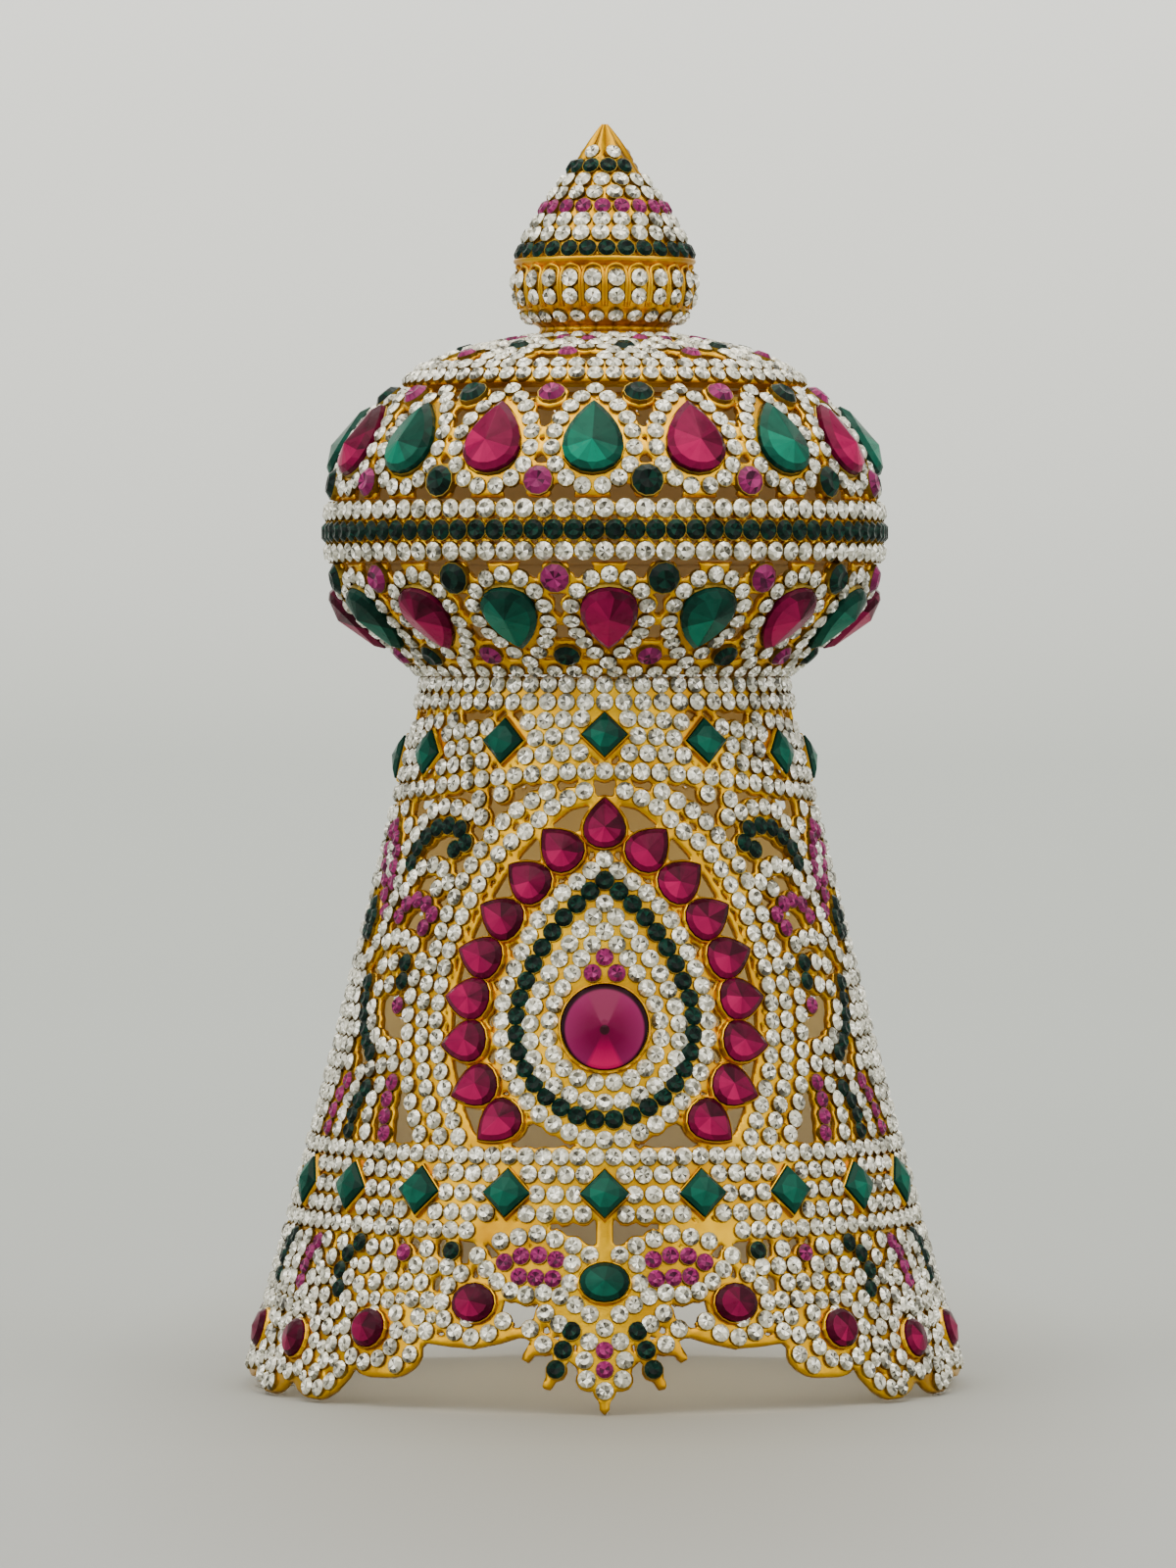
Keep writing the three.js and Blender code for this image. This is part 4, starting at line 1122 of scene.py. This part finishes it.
def domeTier(name, look, nodes, stones):
    surf, step = look["surface"], 360 / tierMake["count"]
    zone = Zone(name, surf, goldDome)
    centre = surf.along(look["pearZ"])
    outline = pearOutline(pearLength, look["width"], 20)
    ringLow, ringHigh = (surf.along(z) for z in look["ring"])
    fine = 160
    ringShape = pearOutline(ringHigh - ringLow, look["ringWidth"], fine)
    steps = np.linalg.norm(np.diff(np.vstack([ringShape, ringShape[:1]]), axis=0), axis=1)
    run = np.concatenate([[0], np.cumsum(steps)])
    count = look["ringCount"]
    marks = np.interp(np.arange(count) * run[-1] / count, run, np.arange(fine + 1)) % fine
    ringPoints = turnedBy(ringShape[np.round(marks).astype(int) % fine], look["lean"])
    for k in range(tierMake["count"]):
        a = look["turn"] + step * k
        a = a - 360 if a > 180 else a
        for x, y in ringPoints:
            s = (ringLow + ringHigh) / 2 + y
            zone.stone("crystal", a + x / surf.perDegree(s), s, tierMake["ringStone"])
        colour = look["colours"][k % 2]
        gem(zone, colour, a, look["pearZ"], outline, turn=look["lean"], piece=colour, tone=look["tone"],
            **domePear)
        foot = 0.7 if name == "domeUpper" else surf.length[-1] - 0.7  # each ring stands on the equator
        zone.strip(a, foot, tierMake["foot"], 0.9)
        between = a + step / 2
        for z, first, second, size in look["rounds"]:
            s = surf.along(z)
            colour = first if k % 2 else second
            zone.stone(colour, between, s, size)
            zone.solids.append((between, s, np.array([(0, 0), (0.01, 0)]), size / 2 + 0.7))
        if abs(between) < tierMake["backFrom"]:
            for x, z, across, up in look["windows"]:
                s = surf.along(z)
                at = between + x / surf.perDegree(s)
                zone.windows.append((at, s, ovalOutline(across, up, 10), 0.0))
            continue
        s = surf.along(look["rounds"][1 if name == "domeUpper" else 0][0])  # the back is less open
        zone.strip(between, s, *tierMake["backBar"])
        if name == "domeLower":
            half, grow = tierMake["backPost"]
            zone.solids.append((between, centre, np.array([(0, -half), (0, half)]), grow))

    def ridge(angle, s):
        # the casting stands up in a rib between two rings
        off = (angle - look["turn"]) % step - step / 2
        x = off * degree * surf.radius(s)
        ends = np.clip((tierMake["ribHalf"] - np.abs(s - centre)) / 1.2, 0, 1)
        return tierMake["rib"] * np.exp(-(x / 0.9) ** 2) * ends

    top = surf.length[-1]
    for s in (0.35, top - 0.35):  # hems at the back
        zone.strip(180, s, 62, 0.4)
    if name == "domeUpper":
        zone.strip(0, top - 0.35, allRound, 0.35)
    if name == "domeLower":  # a plain row where the tier meets the skirt
        for k in range(60):
            zone.stone("crystal", -180 + 6 * (k + 0.5), surf.along(129.7), 2.8)
        area(zone, [(-180, 128.4), (180, 128.4), (180, 131.2), (-180, 131.2)])
    plate = piercedPlate(zone, name + "_gold", -180, 180, 0.0, top, tierMake["cell"], ridge, whole=True)
    place(plate, "gold", nodes)
    dressZone(zone, False, {colour: {"": solids} for colour, solids in stones.items()})


for tier, look in tierLooks.items():
    stones = {colour: [f"{tier}_stone_{k + 1:02d}" for k in range(first, tierMake["count"], 2)]
              for first, colour in enumerate(look["colours"])}
    domeTier("dome" + tier.capitalize(), look, [f"dome_{tier}_tier"], stones)
print("dome tiers ready")

# three close rows at the widest place
bandRows = {"count": 88, "rows": [(150.7, "crystal", 0.0), (154.4, "forest", 0.5), (158.1, "crystal", 0.0)],
            "size": 3.4, "cell": 0.5, "keep": 1.66}
band = Zone("equator", equator, goldDome)
for z, colour, shift in bandRows["rows"]:
    for k in range(bandRows["count"]):
        band.stone(colour, -180 + 360 * (k + shift) / bandRows["count"], equator.along(z), bandRows["size"])
band.strip(180, 0.9, 60, 1.0)
bandSpan = (-180, 180, 0.0, equator.length[-1], bandRows["cell"])
bandPlate = piercedPlate(band, "equator_gold", *bandSpan, whole=True, keep=bandRows["keep"])
place(bandPlate, "gold", ["equator_band"])
dressZone(band)

# cap
capLook = {"firstRow": 1.35, "rowPitch": 2.8, "rows": 9, "pitch": 3.25, "size": 2.95, "repeats": 8,
           "openingAt": (-13, 8.4, 29.6), "cell": 0.75}
cap = Zone("cap", capTop, goldDome)
capAccents = [  # colour, angle, distance from the middle, size
    ("magenta", -13, 29.0, 3.6), ("forest", 8, 25.4, 3.8),
    ("magenta", 21, 17.8, 3.0), ("magenta", 36, 18.2, 2.8)]
for k in range(capLook["repeats"]):
    turn = 360 / capLook["repeats"] * k
    for colour, a, r, size in capAccents:
        cap.stone(colour, (a + turn + 180) % 360 - 180, capTop.acrossTop(r), size)
    middle, away, r = capLook["openingAt"]
    for side in (-1, 1):  # a small opening on each side of the outer accent
        a = (middle + turn + side * away + 180) % 360 - 180
        cap.windows.append((a, capTop.acrossTop(r), ovalOutline(3.6, 2.0, 10), 0.0))
for row in range(capLook["rows"]):
    s = capLook["firstRow"] + capLook["rowPitch"] * row
    count = int(round(2 * math.pi * capTop.radius(s) / capLook["pitch"]))
    scale = capTop.perDegree(s)
    for k in range(count):
        a = -180 + 360 * (k + 0.5) / count
        blocked = any(math.hypot((a - w[0]) * scale, (s - w[1]) * 1.3) < 2.9 for w in cap.windows)
        if cap.clear(a, s, 2.75) and not blocked:
            cap.stone("crystal", a, s, capLook["size"])
for s in (0.35, capTop.length[-1] - 0.8):
    cap.strip(0, s, allRound, 0.7)
capPlate = piercedPlate(cap, "cap_gold", -180, 180, 0.0, capTop.length[-1], capLook["cell"], whole=True)
place(capPlate, "gold", ["dome_cap"])
dressZone(cap)
print("band and cap ready")

# finial
finialOutside = [(12.2, 190.1), (11.6, 191.4), (13.0, 192.4), (15.0, 194.4), (15.9, 197.0), (16.1, 200.0),
                 (15.4, 201.9), (15.9, 202.7), (16.5, 203.3), (16.4, 203.9), (15.5, 204.5), (13.9, 208.0),
                 (12.0, 211.0), (10.4, 213.9), (8.5, 216.6), (7.0, 218.6), (5.7, 220.6), (4.5, 222.6),
                 (3.3, 224.4), (2.2, 226.0), (1.2, 227.5), (0.5, 228.45)]
finialInside = [(9.4, 190.1), (9.6, 192.8), (13.6, 196.0), (14.0, 200.0), (13.2, 204.0), (9.6, 210.4),
                (4.6, 218.6), (0.6, 222.6)]
finialRows = [  # height, colour, count, size, angle of the first, angles left out
    (193.5, "crystal", 26, 2.8, 8.0, ()),
    (196.8, "crystal", 24, 2.95, 7.5, ()),
    (200.0, "crystal", 24, 3.2, 7.5, ()),
    (205.2, "forest", 28, 3.05, 1.4, ()),
    (208.0, "crystal", 25, 3.2, -3.0, ()),
    (210.5, "crystal", 22, 3.2, -2.4, ()),
    (213.0, "magenta", 20, 3.05, -2.0, ()),
    (215.5, "crystal", 17, 3.05, 10.5, ()),
    (217.9, "crystal", 14, 3.05, -4.0, ()),
    (220.5, "forest", 12, 2.9, 6.0, (66, 96)),
    (223.1, "crystal", 7, 2.8, 21.0, (73, -82)),
]
finialLook = {"ribs": 24, "sides": 192, "rod": 0.36, "halfWidth": 6.5, "foot": 195.0, "spring": 200.7,
              "rise": 1.95, "leavesTop": 202, "flutesFrom": 204.6, "flutesTo": 221.8, "folds": 7}
finialSurface = Turned(finialOutside, 4)
finial = Zone("finial", finialSurface)
for z, colour, count, size, first, gaps in finialRows:
    for k in range(count):
        a = (first + 360 * k / count + 180) % 360 - 180
        if all(abs(a - gap) > 6 for gap in gaps):
            finial.stone(colour, a, finialSurface.along(z), size)


def finialBody():
    look, n, ribs = finialLook, finialLook["sides"], finialLook["ribs"]
    levels, shade = [], []
    for r, z in finialSurface.curve:
        ring = []
        for k in range(n):
            t = 2 * math.pi * k / n
            fold = look["folds"] * t + 0.6
            # painted shade: the gold is darkened in the grooves between ribs and flutes, and over the whole
            # tip
            swell, dark = 0.0, 0.1  # how far a rib stands out, and how dark the gold is there
            if z < look["leavesTop"]:
                swell = 0.3 * abs(math.cos(ribs / 2 * t)) - 0.15
                dark = 0.75 * (1 - abs(math.cos(ribs / 2 * t))) ** 2
            elif look["flutesFrom"] < z < look["flutesTo"]:
                swell = 0.14 * math.cos(ribs * t)
                dark = 0.3 - 0.3 * math.cos(ribs * t)
            elif z >= look["flutesTo"]:
                swell = 0.17 * math.cos(fold) * min(r, 2.5)
                dark = 0.42 + 0.58 * max(0.0, -math.cos(fold)) ** 2
            ring.append(((r + swell) * math.cos(t), (r + swell) * math.sin(t), z))
            shade.append(dark)
        levels.append(ring)
    inside = [[(r * math.cos(2 * math.pi * k / n), r * math.sin(2 * math.pi * k / n), z) for k in range(n)]
              for r, z in finialInside]
    points = [p for ring in levels + inside for p in ring]
    top, outerCount = (len(levels) - 1) * n, len(levels) * n
    faces = []
    for low in range(0, top, n):
        faces += joined(low, low + n, n)
    for low, high in [(k, k + n) for k in range(outerCount, len(points) - n, n)] + [(0, outerCount)]:
        faces += [[low + (i + 1) % n, low + i, high + i, high + (i + 1) % n] for i in range(n)]
    faces.append([top + i for i in range(n)])
    faces.append([len(points) - n + i for i in range(n - 1, -1, -1)])
    # the inner surface is set half way into the painted shade
    shade += [0.5] * (len(inside) * n)
    return newObject("finial_gold", points, faces, goldRibbed, True, shade)


def rodAlong(batch, path, radius, sides=6):
    path = np.array(path, float)
    way = np.gradient(path, axis=0)
    way /= np.linalg.norm(way, axis=1, keepdims=True)
    side = np.cross(way, path * np.array([1, 1, 0]))
    side /= np.linalg.norm(side, axis=1, keepdims=True)
    up = np.cross(way, side)
    levels = []
    for k in range(len(path)):
        turns = [2 * math.pi * i / sides for i in range(sides)]
        levels.append([path[k] + radius * (side[k] * math.cos(t) + up[k] * math.sin(t)) for t in turns])
    batch.add(*rings(levels))


def finialArches():
    # a wire arch over each stone of the upper row, its legs running down as ribs
    look, arches = finialLook, Batch()
    wide = look["halfWidth"]
    leg = [(-wide, z) for z in np.linspace(look["foot"], look["spring"], 6)]
    bow = [(-wide * math.cos(t), look["spring"] + look["rise"] * math.sin(t))
           for t in np.linspace(0, math.pi, 13)[1:-1]]
    half = leg + bow + [(wide, z) for _, z in leg[::-1]]
    for k in range(look["ribs"]):
        middle = 360 * (k + 0.5) / look["ribs"]
        angle = np.array([middle + a for a, _ in half])
        s = finialSurface.along(np.array([z for _, z in half]))
        rodAlong(arches, finialSurface.point(angle, s, np.full(len(half), 0.2)), look["rod"])
    return arches.build("finial_arches", goldBright, True)


place(finialBody(), "gold", ["finial"])
place(finialArches(), "gold")
dressZone(finial)
print("finial ready")


# studio
# painted light: the paper is coloured paler where it rises at the back
paperTones = [  # by distance behind the crown, in metres
    (-0.5, (0.32, 0.325, 0.316)), (0.6, (0.318, 0.34, 0.318)), (2.0, (0.39, 0.412, 0.38)),
    (2.38, (0.65, 0.655, 0.615)), (2.55, (0.82, 0.82, 0.77))]
# a painted shadow on the floor: darker and warmer in an ellipse round the crown
nearShadow = {"colour": (0.232, 0.218, 0.176), "from": 0.02, "to": 0.22, "across": 2.2, "along": 0.5}
studio = {"world": 0.79, "key": 31.0, "fill": 23.0, "top": 37.0, "wall": 65.0, "front": 1.1,
          "inside": (0.05, 0.02), "floor": 0.6}


def sweepPaper():
    # pale paper that runs under the crown and rises behind it, painted paler as it rises, with a painted
    # shadow round the crown
    profile = [(-14.0, 0.0)]
    profile += [(1.6 + 1.0 * math.sin(t), 1.0 - 1.0 * math.cos(t)) for t in np.linspace(0, math.pi / 2, 24)]
    profile += [(2.6, 4.0)]
    points, faces = [], []
    for y, z in profile:
        points += [(-4000, y * 1000, z * 1000), (4000, y * 1000, z * 1000)]
    for k in range(len(profile) - 1):
        faces.append([2 * k, 2 * k + 1, 2 * k + 3, 2 * k + 2])
    paper = Finish("pale paper", Roughness=0.85)
    place = paper.place()
    depth = paper.node("ShaderNodeSeparateXYZ", Vector=place, out=1)
    fibre = paper.node("ShaderNodeTexNoise", Vector=place, Scale=3.0, Detail=2.0)
    first, last = paperTones[0][0], paperTones[-1][0]
    back = paper.node("ShaderNodeMapRange", Value=depth, From_Min=first, From_Max=last)
    stops = [((y - first) / (last - first), tone) for y, tone in paperTones]
    tint = paper.node("ShaderNodeValToRGB", {"stops": stops}, Fac=back + (fibre - 0.5) * 0.02)
    # painted shadow: the floor's colour goes to the shadow colour in an ellipse round the crown
    spot = (nearShadow["across"], nearShadow["along"], 0)
    flat = paper.node("ShaderNodeVectorMath", {"operation": "MULTIPLY"}, i0=place, i1=spot)
    away = paper.node("ShaderNodeVectorMath", {"operation": "LENGTH"}, out=1, i0=flat)
    shade = paper.node("ShaderNodeMapRange", Value=away, From_Min=nearShadow["to"], From_Max=nearShadow["from"])
    tint = paper.mixColour(shade, tint, nearShadow["colour"])
    floor = newObject("paper_floor", points, faces, paper.feed(Base_Color=tint), True)


def softLight(name, at, size, power, colour=(1, 1, 1), aim=(0, 0, 0.11)):
    lamp = bpy.data.lights.new(name, "AREA")
    lamp.shape, lamp.size, lamp.size_y = "RECTANGLE", size[0], size[1]
    lamp.energy, lamp.color = power, colour
    obj = bpy.data.objects.new(name, lamp)
    obj.location = at
    obj.rotation_euler = (Vector(aim) - Vector(at)).to_track_quat("-Z", "Y").to_euler()
    obj.visible_camera = False
    bpy.context.scene.collection.objects.link(obj)


def smallLamp(name, kind, height, power, colour):
    # a weak lamp on the axis
    obj = bpy.data.objects.new(name, bpy.data.lights.new(name, kind))
    obj.data.energy, obj.data.shadow_soft_size, obj.data.color = power, 0.02, colour
    obj.location = (0, 0, height)
    obj.visible_camera = obj.visible_glossy = False
    bpy.context.scene.collection.objects.link(obj)
    return obj.data


sweepPaper()
world = bpy.data.worlds.new("studio")
world.use_nodes = True
world.node_tree.nodes["Background"].inputs[0].default_value = (0.80, 0.79, 0.76, 1)
world.node_tree.nodes["Background"].inputs[1].default_value = studio["world"]
bpy.context.scene.world = world
softLight("key", (-1.5, -1.2, 1.25), (2.4, 2.0), studio["key"])
softLight("fill", (1.55, -1.1, 1.1), (2.4, 2.0), studio["fill"])
softLight("top", (0.0, -0.3, 1.7), (1.9, 1.9), studio["top"], (1.0, 0.93, 0.80))
softLight("front", (0.0, -1.35, 0.8), (0.36, 0.24), studio["front"], (0.86, 0.93, 1.0))
softLight("wall", (0.0, 0.9, 2.2), (2.4, 1.0), studio["wall"], aim=(0, 2.6, 1.0))

# in the hollow, so the openings don't go black
for height, power in zip((0.075, 0.156), studio["inside"]):
    smallLamp("inside", "POINT", height, power, (1.0, 0.88, 0.64))
pool = smallLamp("floor pool", "SPOT", 0.118, studio["floor"], (1.0, 0.94, 0.84))
pool.spot_size, pool.spot_blend = math.radians(66), 0.6

lens = {"distance": 1.5, "eye": 0.1355, "focal": 189.7, "aimX": -0.00302, "aimZ": 0.1088}
camera = bpy.data.objects.new("camera", bpy.data.cameras.new("camera"))
camera.data.lens, camera.data.sensor_width = lens["focal"], 36.0
camera.location = (0, -lens["distance"], lens["eye"])
direction = Vector((lens["aimX"], 0, lens["aimZ"])) - camera.location
camera.rotation_euler = direction.to_track_quat("-Z", "Y").to_euler()
bpy.context.scene.collection.objects.link(camera)
bpy.context.scene.camera = camera

parts = [o.data.polygons for o in bpy.data.objects if o.type == "MESH" and o.name != "paper_floor"]
sizes = [sum(len(p.vertices) - 2 for p in polygons) for polygons in parts]
print("pieces", len(sizes), "triangles", sum(sizes), "largest", max(sizes))
